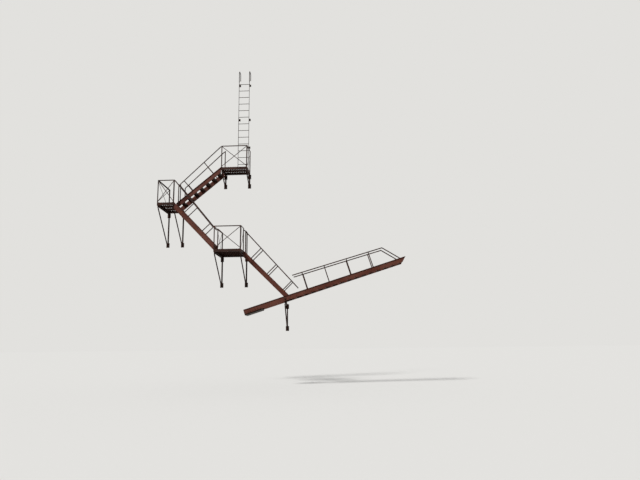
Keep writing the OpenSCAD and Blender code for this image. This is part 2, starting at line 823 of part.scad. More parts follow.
// Stringer of the swing stair with its hub; side is +1 towards the wall
module swing_stringer(side) {
    y_web = side > 0 ? swing_half : -swing_half - stringer_t;
    y_flange = side > 0 ? swing_half : -swing_half - stringer_flange;
    slant = (foot_high - foot_low) / stringer_depth;
    color(paint)
        swing_frame()
            difference() {
                union() {
                    plate_xz([
                        [-arm_len, -half_depth], [foot_low, -half_depth],
                        [foot_high, half_depth], [-arm_len, half_depth]
                    ], y_web, stringer_t);
                    plate_xz([
                        [-arm_len, -half_depth], [foot_low, -half_depth],
                        [foot_low + slant * stringer_t, -half_depth + stringer_t],
                        [-arm_len, -half_depth + stringer_t]
                    ], y_flange, stringer_flange);
                    plate_xz([
                        [-arm_len, half_depth - stringer_t],
                        [foot_high - slant * stringer_t, half_depth - stringer_t],
                        [foot_high, half_depth], [-arm_len, half_depth]
                    ], y_flange, stringer_flange);
                    translate([0, y_flange + stringer_flange, 0])
                        rotate([90, 0, 0])
                            cylinder(r = hub_r, h = stringer_flange);
                }
                translate([0, y_flange + stringer_flange + 1, 0])
                    rotate([90, 0, 0])
                        cylinder(r = shaft_r + shaft_gap, h = stringer_flange + 2);
            }
}

// Handrail of the swing stair: free start, bend and slope down to the stringer's end
module swing_rail(side) {
    y = side * (swing_half + flange_mid);
    seat = half_depth + seat_gap;
    foot = [foot_high - swing_rail_back, seat];
    bend = [foot[0] - swing_rail_slope_run, swing_rail_low];
    start = [swing_rail_start, swing_rail_high];
    color(dark_paint)
        swing_frame() {
            angle_rail([start, bend, foot], y, seat);
            square_posts(
                [0, half_depth - nosing_inset], 0, swing_first_post, swing_post_pitch, start, bend, y
            );
        }
}

// Standoff from a ladder stile to the wall, with its wall pad, down from the wall's top
module standoff(x, down) {
    z = wall_top_z - down;
    translate([x - stile_t / 2, -ladder_off, z - standoff_w / 2])
        cube([stile_t, ladder_off, standoff_w]);
    difference() {
        translate([x - pad_w / 2, -pad_t, z - pad_h / 2])
            cube([pad_w, pad_t, pad_h]);
        for (side = [-1, 1])
            translate([x + side * pad_bolt_dx / 2, 1, z])
                rotate([90, 0, 0])
                    cylinder(r = pad_bolt_r, h = pad_t + 2);
    }
}

// Stiles of the roof ladder with foot plates, standoffs and hooks over the wall's top
module roof_ladder_stiles() {
    color(dark_paint) {
        for (x = [ladder_left_x, ladder_left_x + ladder_w]) {
            translate([x - stile_foot / 2, -ladder_off - stile_foot / 2, top_z])
                cube([stile_foot, stile_foot, stile_foot_t]);
            translate([x - stile_t / 2, -ladder_off - stile_w / 2, top_z])
                cube([stile_t, stile_w, wall_top_z - stile_short - top_z]);
            translate([x, 0, 0])
                rotate([90, 0, 90])
                    bent_rod([
                        [-ladder_off, wall_top_z - hook_lap],
                        [-ladder_off, wall_top_z + hook_rise],
                        [-ladder_off + hook_reach, wall_top_z + hook_rise],
                        [-ladder_off + hook_reach, wall_top_z]
                    ], hook_d);
            standoff(x, standoff_first);
            standoff(x, standoff_second);
        }
        standoff(ladder_left_x + ladder_w, standoff_third);
    }
}

module roof_ladder_rungs() {
    count = floor((wall_top_z - rung_short - top_z) / rung_pitch);
    color(dark_paint)
        for (i = [1 : count])
            translate([ladder_left_x + stile_t / 2, -ladder_off, top_z + i * rung_pitch])
                rotate([0, 90, 0])
                    cylinder(d = rung_d, h = ladder_w - stile_t);
}

module top_platform_frame() {
    deck_frame(top_left_x, top_right_x, top_depth, top_z, 1);
}

module top_platform_slats() {
    deck_slats(top_left_x, top_right_x, top_depth, top_z);
}

module top_platform_front_rail() {
    front_rail(top_left_x, top_right_x, top_depth, top_z);
}

module top_platform_end_rail() {
    end_rail(
        top_right_x, -1, -top_depth + angle_leg, -wall_gap, top_z,
        [[-wall_gap, -1]],
        [[-top_depth + angle_leg, -wall_gap]]
    );
}

module top_platform_left_bracket() {
    wall_bracket(top_left_x + tee_w / 2, top_z - slat_t - frame_depth, top_depth, top_bracket_drop, tee_w);
}

module top_platform_right_bracket() {
    wall_bracket(top_right_x - tee_w / 2, top_z - slat_t - frame_depth, top_depth, top_bracket_drop, tee_w);
}

module upper_flight_outer_stringer() {
    deck_stringer(
        upper_start, upper_m, side_right_x - foot_run,
        -upper_lane - upper_clear / 2 - stringer_t, -1, side_z
    );
}

module upper_flight_inner_stringer() {
    deck_stringer(
        upper_start, upper_m, side_right_x - foot_run,
        -upper_lane + upper_clear / 2, 1, side_z
    );
}

module upper_flight_treads() {
    flight_treads(
        upper_start, -1, upper_rise, upper_run / (upper_risers - 1),
        upper_risers - 1, upper_lane, upper_clear
    );
}

module upper_flight_outer_rail() {
    flight_rail(
        upper_start, upper_m, side_right_x + upper_rail_short, -upper_lane - upper_clear / 2 - flange_mid,
        upper_first_post, upper_post_pitch, top_left_x
    );
}

// The inner rail has a newel of its own on the platform
module upper_flight_inner_rail() {
    y = -upper_lane + upper_clear / 2 + flange_mid;
    flight_rail(
        upper_start, upper_m, side_right_x + upper_rail_short, y,
        upper_first_post, upper_post_pitch, top_left_x
    );
    color(dark_paint)
        angle_post(top_left_x, y - angle_leg / 2, top_z, rail_h, 1, 1);
}

module side_landing_frame() {
    deck_frame(side_left_x, side_right_x, deck_depth, side_z, 2);
}

module side_landing_slats() {
    deck_slats(side_left_x, side_right_x, deck_depth, side_z);
}

module side_landing_front_rail() {
    front_rail(side_left_x, side_right_x, deck_depth, side_z);
}

module side_landing_end_rail() {
    end_rail(
        side_left_x, 1, -deck_depth + angle_leg, -wall_gap, side_z,
        [[-wall_gap, -1]],
        [[-deck_depth + angle_leg, -wall_gap]]
    );
}

module side_landing_left_bracket() {
    wall_bracket(
        side_left_x + tee_w / 2, side_z - slat_t - frame_depth, deck_depth,
        side_bracket_drop, tee_w
    );
}

module side_landing_right_bracket() {
    wall_bracket(
        side_right_x - tee_w / 2, side_z - slat_t - frame_depth, deck_depth,
        side_bracket_drop, tee_w
    );
}

module middle_flight_outer_stringer() {
    deck_stringer(
        middle_start, middle_m, balcony_left_x,
        -middle_lane - middle_clear / 2 - stringer_t, -1
    );
}

module middle_flight_inner_stringer() {
    deck_stringer(
        middle_start, middle_m, balcony_left_x,
        -middle_lane + middle_clear / 2, 1
    );
}

module middle_flight_treads() {
    flight_treads(
        middle_start, 1, middle_rise, middle_run / (middle_risers - 1),
        middle_risers - 1, middle_lane, middle_clear
    );
}

module middle_flight_outer_rail() {
    post_to_post_rail(
        middle_start, middle_m, side_right_x, balcony_left_x, balcony_z + rail_h - middle_rail_drop,
        -middle_lane - middle_clear / 2 - flange_mid, middle_first_post, middle_post_pitch
    );
}

// The inner rail has a newel of its own on the side landing
module middle_flight_inner_rail() {
    y = -middle_lane + middle_clear / 2 + flange_mid;
    post_to_post_rail(
        middle_start, middle_m, side_right_x, balcony_left_x, balcony_z + rail_h - middle_rail_drop,
        y, middle_first_post, middle_post_pitch
    );
    color(dark_paint)
        angle_post(side_right_x, y + angle_leg / 2, side_z, rail_h, -1, -1);
}

module balcony_frame() {
    deck_frame(balcony_left_x, balcony_right_x, deck_depth, balcony_z, 2);
}

module balcony_slats() {
    deck_slats(balcony_left_x, balcony_right_x, deck_depth, balcony_z);
}

module balcony_front_rail() {
    front_rail(balcony_left_x, balcony_right_x, deck_depth, balcony_z);
}

// The rail on the right leaves a gap between two newels for the lower flight
module balcony_right_rail() {
    newel = lower_clear / 2 + flange_mid;
    outer = -lower_lane - newel;
    inner = -lower_lane + newel;
    end_rail(
        balcony_right_x, -1, -deck_depth + angle_leg, outer + angle_leg / 2, balcony_z,
        [[outer + angle_leg / 2, -1]],
        [[-deck_depth + angle_leg, outer + angle_leg / 2]]
    );
    end_rail(
        balcony_right_x, -1, inner - angle_leg / 2, -wall_gap, balcony_z,
        [[inner - angle_leg / 2, 1], [-wall_gap, -1]],
        []
    );
}

// The rail on the left closes the deck beside the middle flight
module balcony_left_rail() {
    newel = -middle_lane + middle_half;
    end_rail(
        balcony_left_x, 1, newel - angle_leg, -wall_gap, balcony_z,
        [[newel - angle_leg, 1], [-wall_gap, -1]],
        [[newel - angle_leg, -wall_gap]]
    );
}

module balcony_left_bracket() {
    wall_bracket(
        balcony_left_x + tee_w / 2, balcony_z - slat_t - frame_depth, deck_depth,
        balcony_bracket_drop, tee_w
    );
}

module balcony_right_bracket() {
    wall_bracket(0, balcony_z - slat_t - frame_depth, deck_depth, balcony_bracket_drop, tee_w);
}

module lower_flight_outer_stringer() {
    lower_stringer(-1);
}

module lower_flight_inner_stringer() {
    lower_stringer(1);
}

module lower_flight_treads() {
    flight_treads(lower_start, 1, lower_rise, lower_going, lower_treads, lower_lane, lower_clear);
}

module lower_flight_outer_rail() {
    lower_rail(-1);
}

module lower_flight_inner_rail() {
    lower_rail(1);
}

// Wall bracket with two pedestals that carry the pivot shaft
module pivot_bracket() {
    arm = lower_lane + swing_half + stringer_flange + pivot_arm_past;
    seat = pivot[1] - pedestal_h;
    wall_bracket(pivot[0], seat, arm, pivot_bracket_drop, pivot_tee_w);
    color(paint)
        for (side = [-1, 1]) {
            y = -lower_lane + side * (lower_clear / 2 - pedestal_gap - pedestal_t / 2);
            difference() {
                union() {
                    translate([pivot[0] - pivot_tee_w / 2, y - pedestal_t / 2, seat])
                        cube([pivot_tee_w, pedestal_t, pedestal_h]);
                    translate([pivot[0] - pivot_tee_w / 2, y - pedestal_t / 2 - pedestal_foot, seat])
                        cube([pivot_tee_w, pedestal_t + 2 * pedestal_foot, pedestal_foot_t]);
                    translate([pivot[0], y + pedestal_t / 2, pivot[1]])
                        rotate([90, 0, 0])
                            cylinder(r = hub_r, h = pedestal_t);
                }
                translate([pivot[0], y + pedestal_t / 2 + 1, pivot[1]])
                    rotate([90, 0, 0])
                        cylinder(r = shaft_r, h = pedestal_t + 2);
            }
        }
}

// Shaft through the pedestals, the hanger plates and the swing stair's hubs
module pivot_shaft() {
    half = swing_half + stringer_flange + collar_gap;
    color(iron)
        translate([pivot[0], -lower_lane, pivot[1]])
            rotate([90, 0, 0]) {
                translate([0, 0, -half])
                    cylinder(r = shaft_r, h = 2 * half);
                for (z = [-half - collar, half])
                    translate([0, 0, z])
                        cylinder(r = shaft_r + collar, h = collar);
            }
}

module swing_outer_stringer() {
    swing_stringer(-1);
}

module swing_inner_stringer() {
    swing_stringer(1);
}

// Treads of the swing stair, level when it is lowered
module swing_treads() {
    color(dark_paint)
        swing_frame()
            for (i = [0 : swing_tread_count - 1])
                translate([first_tread_u + i * swing_pitch, 0, half_depth - nosing_inset])
                    rotate([0, -lowered_angle, 0])
                        tread(1, 2 * swing_half);
}

module swing_outer_rail() {
    swing_rail(-1);
}

module swing_inner_rail() {
    swing_rail(1);
}

// Counterweight between the short arms, cast with shallow grooves
module counterweight() {
    color(iron)
        swing_frame()
            difference() {
                translate([-arm_len, -swing_half, weight_top - weight_t])
                    cube([weight_len, 2 * swing_half, weight_t]);
                for (i = [1 : groove_count])
                    translate([
                        -arm_len + i * weight_len / (groove_count + 1) - groove_w / 2,
                        -swing_half - 1,
                        weight_top - weight_t - 1
                    ])
                        cube([groove_w, 2 * swing_half + 2, groove_d + 1]);
            }
}

roof_ladder_stiles();
roof_ladder_rungs();
top_platform_frame();
top_platform_slats();
top_platform_front_rail();
top_platform_end_rail();
top_platform_left_bracket();
top_platform_right_bracket();
upper_flight_outer_stringer();
upper_flight_inner_stringer();
upper_flight_treads();
upper_flight_outer_rail();
upper_flight_inner_rail();
side_landing_frame();
side_landing_slats();
side_landing_front_rail();
side_landing_end_rail();
side_landing_left_bracket();
side_landing_right_bracket();
middle_flight_outer_stringer();
middle_flight_inner_stringer();
middle_flight_treads();
middle_flight_outer_rail();
middle_flight_inner_rail();
balcony_frame();
balcony_slats();
balcony_front_rail();
balcony_right_rail();
balcony_left_rail();
balcony_left_bracket();
balcony_right_bracket();
lower_flight_outer_stringer();
lower_flight_inner_stringer();
lower_flight_treads();
lower_flight_outer_rail();
lower_flight_inner_rail();
pivot_bracket();
pivot_shaft();
swing_outer_stringer();
swing_inner_stringer();
swing_treads();
swing_outer_rail();
swing_inner_rail();
counterweight();
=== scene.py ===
import json
import math
from collections import namedtuple

import bpy
import numpy as np
from mathutils import Matrix, Vector


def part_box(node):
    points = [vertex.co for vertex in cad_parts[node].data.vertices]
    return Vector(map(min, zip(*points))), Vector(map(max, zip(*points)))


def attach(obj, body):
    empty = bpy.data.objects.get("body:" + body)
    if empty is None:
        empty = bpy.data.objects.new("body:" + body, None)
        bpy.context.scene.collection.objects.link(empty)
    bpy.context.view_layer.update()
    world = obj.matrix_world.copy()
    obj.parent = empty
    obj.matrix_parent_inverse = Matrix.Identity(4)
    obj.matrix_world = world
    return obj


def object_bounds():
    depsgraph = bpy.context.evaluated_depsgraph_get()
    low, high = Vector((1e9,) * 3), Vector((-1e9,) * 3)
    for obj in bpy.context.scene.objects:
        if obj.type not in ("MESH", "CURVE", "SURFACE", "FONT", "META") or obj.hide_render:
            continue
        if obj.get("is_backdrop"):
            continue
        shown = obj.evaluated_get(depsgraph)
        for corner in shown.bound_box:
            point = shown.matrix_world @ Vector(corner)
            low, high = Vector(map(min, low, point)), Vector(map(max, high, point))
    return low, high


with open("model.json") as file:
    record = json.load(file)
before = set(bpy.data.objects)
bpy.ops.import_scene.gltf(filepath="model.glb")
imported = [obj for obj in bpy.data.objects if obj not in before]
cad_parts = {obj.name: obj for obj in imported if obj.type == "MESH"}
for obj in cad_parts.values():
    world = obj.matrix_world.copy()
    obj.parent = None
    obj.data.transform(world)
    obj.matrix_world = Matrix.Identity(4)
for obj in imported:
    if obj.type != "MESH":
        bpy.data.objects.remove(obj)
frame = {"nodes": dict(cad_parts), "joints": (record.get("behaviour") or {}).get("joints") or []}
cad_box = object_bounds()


# The view
# The stair is seen from the front, at eye height and 22 m off, with the camera turned a little to
# the left of square and tilted up.
floor_level = -5.099
eye_height = 1.67
eye = Vector((4.03, -22.0, floor_level + eye_height))
view_yaw = math.radians(-2.650)
view_pitch = math.radians(10.723)
view_roll = math.radians(-0.6955)
frame_width_px = 640
focal_px = 547.73
sensor_mm = 36.0
view_reach = 400

vertical = Vector((0, 0, 1))
level = Vector((math.sin(view_yaw), math.cos(view_yaw), 0))
across = Vector((math.cos(view_yaw), -math.sin(view_yaw), 0))
ahead = level * math.cos(view_pitch) + vertical * math.sin(view_pitch)
above = vertical * math.cos(view_pitch) - level * math.sin(view_pitch)
right = across * math.cos(view_roll) + above * math.sin(view_roll)
up = above * math.cos(view_roll) - across * math.sin(view_roll)


def put_in_scene(name, data):
    made = bpy.data.objects.new(name, data)
    bpy.context.scene.collection.objects.link(made)
    return made


camera = put_in_scene("camera", bpy.data.cameras.new("camera"))
camera.data.sensor_width = sensor_mm
camera.data.lens = sensor_mm * focal_px / frame_width_px
camera.data.clip_end = view_reach
camera.matrix_world = Matrix.Translation(eye) @ Matrix((right, up, -ahead)).transposed().to_4x4()
bpy.context.scene.camera = camera
bpy.context.scene.view_settings.view_transform = "Standard"


# The studio
# A pale floor lies just below the lowered stair's foot. Even white light comes from all sides, and
# one wide soft lamp stands high on the left in front, where the photograph's light comes from. The
# floor looks pale but throws back only as much light as a mid grey does.
class Wire:
    """One output of a node. Sums on it add the tree's Math nodes."""

    def __init__(self, tree, socket):
        self.tree = tree
        self.socket = socket

    def math_node(self, operation, *values):
        return self.tree.node("ShaderNodeMath", {"operation": operation}, dict(enumerate(values)))

    def larger(self, other):
        return self.math_node("MAXIMUM", self, other)

    def __add__(self, other):
        return self.math_node("ADD", self, other)

    def __radd__(self, other):
        return self.math_node("ADD", other, self)

    def __sub__(self, other):
        return self.math_node("SUBTRACT", self, other)

    def __rsub__(self, other):
        return self.math_node("SUBTRACT", other, self)

    def __mul__(self, other):
        return self.math_node("MULTIPLY", self, other)

    def __rmul__(self, other):
        return self.math_node("MULTIPLY", other, self)


class Tree:
    """A node tree of a material or of a shape, to which node() adds."""

    def __init__(self, tree):
        self.nodes = tree.nodes
        self.links = tree.links

    def node(self, kind, settings=None, values=None, output=0):
        """Adds a node: its settings first, then the value or link of each socket named."""
        made = self.nodes.new(kind)
        for name, setting in (settings or {}).items():
            setattr(made, name, setting)
        for key, value in (values or {}).items():
            for one in value if isinstance(value, list) else [value]:
                if isinstance(one, Wire):
                    self.links.new(one.socket, made.inputs[key])
                else:
                    made.inputs[key].default_value = one
        return Wire(self, made.outputs[output]) if made.outputs else None


def srgb(red, green, blue):
    """A colour as a paint chart gives it, 0 to 255, in the renderer's own linear values."""
    parts = [c / 255 for c in (red, green, blue)]
    return (*(c / 12.92 if c <= 0.04045 else ((c + 0.055) / 1.055) ** 2.4 for c in parts), 1.0)


def lit_or_shown(tree, lit, shown):
    """One shader lights the stair, and the camera and glossy surfaces see the other."""
    camera_ray = tree.node("ShaderNodeLightPath", output="Is Camera Ray")
    glossy_ray = tree.node("ShaderNodeLightPath", output="Is Glossy Ray")
    return tree.node("ShaderNodeMixShader", {}, {0: camera_ray.larger(glossy_ray), 1: lit, 2: shown})


def new_material(name):
    material = bpy.data.materials.new(name)
    material.use_nodes = True
    material.node_tree.nodes.clear()
    return material, Tree(material.node_tree)


backdrop = srgb(226, 225, 222)
mid_grey = srgb(148, 146, 142)
white = (1, 1, 1, 1)
even_light = 0.5
lamp_light = 2.6
lamp_width = math.radians(9)
lamp_direction = Vector((0.42, 0.66, -0.62))
floor_half = 160.0

world = bpy.data.worlds.new("studio")
bpy.context.scene.world = world
world.use_nodes = True
world.node_tree.nodes.clear()
tree = Tree(world.node_tree)
lit_dome = tree.node("ShaderNodeBackground", {}, {"Color": white, "Strength": even_light})
shown_dome = tree.node("ShaderNodeBackground", {}, {"Color": backdrop, "Strength": 1.0})
tree.node("ShaderNodeOutputWorld", {}, {"Surface": lit_or_shown(tree, lit_dome, shown_dome)})

lamp = put_in_scene("key_lamp", bpy.data.lights.new("key_lamp", "SUN"))
lamp.data.energy = lamp_light
lamp.data.angle = lamp_width
lamp.rotation_euler = lamp_direction.to_track_quat("-Z", "Y").to_euler()

floor_material, tree = new_material("pale_floor")
lit_floor = tree.node("ShaderNodeBsdfDiffuse", {}, {"Color": mid_grey})
shown_floor = tree.node("ShaderNodeBsdfDiffuse", {}, {"Color": backdrop})
tree.node("ShaderNodeOutputMaterial", {}, {"Surface": lit_or_shown(tree, lit_floor, shown_floor)})
floor_mesh = bpy.data.meshes.new("floor")
floor_corners = [
    (x * floor_half, y * floor_half, floor_level) for x, y in ((-1, -1), (1, -1), (1, 1), (-1, 1))
]
floor_mesh.from_pydata(floor_corners, [], [(0, 1, 2, 3)])
floor_mesh.materials.append(floor_material)
put_in_scene("floor", floor_mesh)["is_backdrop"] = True


# The brackets
# Each is a knee bracket of three tee bars, the strut's with its narrow head outwards, riveted
# together and held on by two plates with four anchor bolts each, all in old red-oxide paint that
# rusts through, painted darker than the stringers' paint as shade.
def noise(tree, place, scale, detail, roughness):
    values = {"Vector": place, "Scale": scale, "Detail": detail, "Roughness": roughness}
    return tree.node("ShaderNodeTexNoise", {"normalize": True}, values, output="Fac")


def step(tree, value, low, high):
    """0 below low and 1 above high, with a smooth edge between."""
    settings = {"interpolation_type": "SMOOTHSTEP", "clamp": True}
    values = {"Value": value, "From Min": low, "From Max": high, "To Min": 0.0, "To Max": 1.0}
    return tree.node("ShaderNodeMapRange", settings, values)


def blend_colour(tree, share, first, second):
    """Lays the second colour over the first. A colour mix has them on inputs 6 and 7."""
    settings = {"data_type": "RGBA", "blend_type": "MIX", "clamp_factor": True}
    return tree.node("ShaderNodeMix", settings, {0: share, 6: first, 7: second}, output=2)


edge_radius = 0.004
run_stretch = (19.0, 19.0, 1.3)
level_face = (0.55, 0.95)


def wear_of(tree):
    """The masks that every finish here is mixed from: stains, runs, specks, edges and level faces."""
    place = tree.node("ShaderNodeTexCoord", output="Object")
    run_place = tree.node("ShaderNodeMapping", {}, {"Vector": place, "Scale": run_stretch})
    facing = tree.node("ShaderNodeNewGeometry", output="Normal")
    rounded = tree.node("ShaderNodeBevel", {"samples": 4}, {"Radius": edge_radius})
    normals = {0: rounded, 1: facing}
    alike = tree.node("ShaderNodeVectorMath", {"operation": "DOT_PRODUCT"}, normals, output="Value")
    upward = tree.node("ShaderNodeSeparateXYZ", {}, {"Vector": facing}, output="Z")
    return {
        "broad": noise(tree, place, scale=1.1, detail=4, roughness=0.6),
        "patch": noise(tree, place, scale=5.5, detail=7, roughness=0.68),
        "fine": noise(tree, place, scale=42.0, detail=6, roughness=0.7),
        "grit": noise(tree, place, scale=260.0, detail=2, roughness=0.5),
        "runs": noise(tree, run_place, scale=1.0, detail=5, roughness=0.62),
        "edge": step(tree, 1 - alike, 0.02, 0.22),
        "top": step(tree, upward, *level_face),
        "under": step(tree, 0 - upward, *level_face),
        "rounded": rounded,
    }


bump_strength = 0.9
dull_gloss = 0.14


def finish_with(tree, colour, roughness, metallic, height, rounded, depth):
    """Joins the finish to its shader, with the height as bump on the softened edges."""
    relief = {"Strength": bump_strength, "Distance": depth, "Height": height, "Normal": rounded}
    surface = tree.node("ShaderNodeBsdfPrincipled", {}, {
        "Base Color": colour, "Roughness": roughness, "Metallic": metallic,
        "Specular IOR Level": dull_gloss, "Normal": tree.node("ShaderNodeBump", {}, relief)
    })
    tree.node("ShaderNodeOutputMaterial", {}, {"Surface": surface})


dust = srgb(139, 120, 104)
bleeding_rust = srgb(84, 47, 31)
dark_rust = srgb(58, 33, 24)
bright_rust = srgb(122, 66, 34)
rust_powder = srgb(150, 92, 52)
rust_stain = srgb(104, 60, 36)
paint_sheen = 0.0


def old_paint(name, coat, faded, soot_and_shade, rusted):
    """Brushed paint on rolled steel: faded, soot-streaked, painted darker below as shade, dusty on top,
    rusted through.
    """
    material, tree = new_material(name)
    wear = wear_of(tree)

    # The coat fades in broad stretches, soot runs down it, downward faces are painted darker as shade, and
    # dust lies on top
    fading = step(tree, wear["broad"], 0.36, 0.66)
    soot_runs = step(tree, wear["runs"], 0.50, 0.74) * 0.55
    # Painted shade: faces that look down are darkened towards the soot colour
    painted_under_shade = wear["under"] * 0.45
    dust_on_top = wear["top"] * step(tree, wear["patch"], 0.35, 0.65) * 0.42
    colour = blend_colour(tree, fading, srgb(*coat), srgb(*faded))
    colour = blend_colour(tree, soot_runs, colour, srgb(*soot_and_shade))
    colour = blend_colour(tree, painted_under_shade, colour, srgb(*soot_and_shade))
    colour = blend_colour(tree, dust_on_top, colour, dust)

    # Rust breaks through in spots with a brown bleed round them, and along the edges
    spots = wear["patch"] * 0.62 + wear["fine"] * 0.38
    spot_start = 0.66 - 0.13 * rusted
    bleed = step(tree, spots, spot_start - 0.06, spot_start + 0.01) * 0.45
    spot_rust = step(tree, spots, spot_start, spot_start + 0.035)
    edge_rust = wear["edge"] * step(tree, wear["fine"] + wear["patch"] * 0.6, 0.72, 0.9) * 0.85
    rust = edge_rust.larger(spot_rust)
    brightness = step(tree, wear["fine"], 0.4, 0.62)
    powder = step(tree, wear["grit"], 0.55, 0.75) * 0.5
    rust_colour = blend_colour(tree, brightness, dark_rust, bright_rust)
    rust_colour = blend_colour(tree, powder, rust_colour, rust_powder)
    colour = blend_colour(tree, bleed, colour, bleeding_rust)
    colour = blend_colour(tree, rust, colour, rust_colour)

    # Rain has washed rust down every face but the level tops
    washed = wear["runs"] * 0.6 + wear["patch"] * 0.4
    stain = step(tree, washed, 0.54, 0.66) * (1 - wear["top"]) * 0.30
    colour = blend_colour(tree, stain, colour, rust_stain)

    # Brush marks and grit stand up a little, and rusted places lie lower and are rougher
    height = wear["grit"] * 0.18 + wear["fine"] * 0.3 - rust * 0.75 + wear["runs"] * 0.15
    roughness = 0.52 + wear["fine"] * 0.16 + rust * 0.28
    finish_with(tree, colour, roughness, paint_sheen, height, wear["rounded"], depth=0.0016)
    return material


def coat_nodes(material, *names):
    """Gives CAD nodes their finish."""
    for name in names:
        mesh = frame["nodes"][name].data
        mesh.materials.clear()
        mesh.materials.append(material)


# Painted shade: the coat of the brackets, deck frames and clips is a darker copy of the stringers' red-oxide
# paint
deck_paint_with_shade = old_paint("deck_paint_with_shade", coat=(42, 22, 15), faded=(58, 34, 26), soot_and_shade=(22, 14, 11), rusted=0.5)
deck_names = ["top_platform", "side_landing", "balcony"]
deck_brackets = [f"{deck}_{side}_bracket" for deck in deck_names for side in ("left", "right")]
coat_nodes(deck_paint_with_shade, *deck_brackets, "pivot_bracket")


def shape_tree(name, sizes):
    """A Geometry Nodes tree with a named input for each size, and the wires of those inputs."""
    group = bpy.data.node_groups.new(name, "GeometryNodeTree")
    group.interface.new_socket("Geometry", in_out="INPUT", socket_type="NodeSocketGeometry")
    for size in sizes:
        group.interface.new_socket(size, in_out="INPUT", socket_type="NodeSocketFloat")
    group.interface.new_socket("Finish", in_out="INPUT", socket_type="NodeSocketMaterial")
    group.interface.new_socket("Geometry", in_out="OUTPUT", socket_type="NodeSocketGeometry")
    tree = Tree(group)
    source = group.nodes.new("NodeGroupInput")
    return group, tree, {socket.name: Wire(tree, socket) for socket in source.outputs if socket.name}


def moved(tree, shape, y=0.0, z=0.0):
    offset = tree.node("ShaderNodeCombineXYZ", {}, {"Y": y, "Z": z})
    return tree.node("GeometryNodeTransform", {}, {"Geometry": shape, "Translation": offset})


spin_seed = 7


def put_at_places(tree, wires, shapes, spin=False):
    """Joins the shapes and sets them at the points, turned as each point's own turn says.
    With spin each also turns about its own axis, as a nut does when it is done up."""
    one = tree.node("GeometryNodeJoinGeometry", {}, {"Geometry": shapes})
    turn = tree.node("GeometryNodeInputNamedAttribute", {"data_type": "QUATERNION"}, {"Name": "turn"})
    if spin:
        # A random number has its least and greatest on inputs 2 and 3
        limits = {2: 0.0, 3: math.tau, "Seed": spin_seed}
        angle = tree.node("FunctionNodeRandomValue", {"data_type": "FLOAT"}, limits, output=1)
        euler = tree.node("ShaderNodeCombineXYZ", {}, {"Z": angle})
        extra = tree.node("FunctionNodeEulerToRotation", {}, {0: euler})
        turn = tree.node("FunctionNodeRotateRotation", {"rotation_space": "LOCAL"}, {0: turn, 1: extra})
    values = {"Points": wires["Geometry"], "Instance": one, "Rotation": turn}
    placed = tree.node("GeometryNodeInstanceOnPoints", {}, values)
    real = tree.node("GeometryNodeRealizeInstances", {}, {"Geometry": placed})
    done = tree.node("GeometryNodeSetMaterial", {}, {"Geometry": real, "Material": wires["Finish"]})
    tree.node("NodeGroupOutput", {}, {"Geometry": done})


def cylinder(tree, sides, radius, depth):
    values = {"Vertices": sides, "Radius": radius, "Depth": depth}
    return tree.node("GeometryNodeMeshCylinder", {}, values)


def nut_shape():
    """A hexagon nut with a chamfered top, on a washer, with the end of its bolt."""
    group, tree, size = shape_tree("nut_on_washer", [
        "Across Flats", "Nut Height", "Washer Radius", "Washer Thickness", "Thread Radius", "Thread Length"
    ])
    nut_sides = 6
    seat = size["Washer Thickness"]
    height = size["Nut Height"]
    corner = size["Across Flats"] * (1 / math.sqrt(3))
    straight = height * 0.80
    chamfer = tree.node("GeometryNodeMeshCone", {}, {
        "Vertices": nut_sides, "Radius Bottom": corner * 0.99, "Radius Top": corner * 0.82,
        "Depth": height * 0.22
    })
    thread = cylinder(tree, 10, size["Thread Radius"], size["Thread Length"])
    put_at_places(tree, size, [
        moved(tree, cylinder(tree, 16, size["Washer Radius"], seat), z=seat * 0.5),
        moved(tree, cylinder(tree, nut_sides, corner, straight), z=seat + straight * 0.5),
        moved(tree, chamfer, z=seat + height * 0.78),
        moved(tree, thread, z=seat + height + size["Thread Length"] * 0.5),
    ], spin=True)
    return group


def nut_sizes(across, height, washer, thread):
    """A nut's sizes, its washer's radius and thickness, and its thread's radius and length."""
    return {
        "Across Flats": across, "Nut Height": height,
        "Washer Radius": washer[0], "Washer Thickness": washer[1],
        "Thread Radius": thread[0], "Thread Length": thread[1]
    }


def basis(z_axis, x_hint=(0, 0, 1)):
    """The turn that takes Z to z_axis and X as near as can be to x_hint."""
    z = Vector(z_axis).normalized()
    x = Vector(x_hint)
    x = (x - z * x.dot(z)).normalized() if x.cross(z).length > 1e-6 else z.orthogonal().normalized()
    return Matrix((x, z.cross(x), z)).transposed().to_quaternion()


def fixings(name, group, places, sizes, material, body):
    """Sets the group's shape at each place, a point and its turn, and makes one plain mesh of them."""
    points = bpy.data.meshes.new(name)
    points.from_pydata([tuple(point) for point, _ in places], [], [])
    turns = points.attributes.new("turn", "QUATERNION", "POINT")
    turns.data.foreach_set("value", [value for _, turn in places for value in turn])
    piece = put_in_scene(name, points)
    modifier = piece.modifiers.new("shape", "NODES")
    modifier.node_group = group
    for item in group.interface.items_tree:
        if item.in_out == "INPUT" and item.name in sizes:
            modifier[item.identifier] = sizes[item.name]
        elif item.in_out == "INPUT" and item.name == "Finish":
            modifier[item.identifier] = material
    graph = bpy.context.evaluated_depsgraph_get()
    mesh = bpy.data.meshes.new_from_object(piece.evaluated_get(graph))
    piece.modifiers.clear()
    piece.data = mesh
    mesh.name = name
    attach(piece, body)


iron_rust = srgb(112, 62, 34)
rubbed_iron = srgb(120, 104, 92)
iron_sheen = 0.15


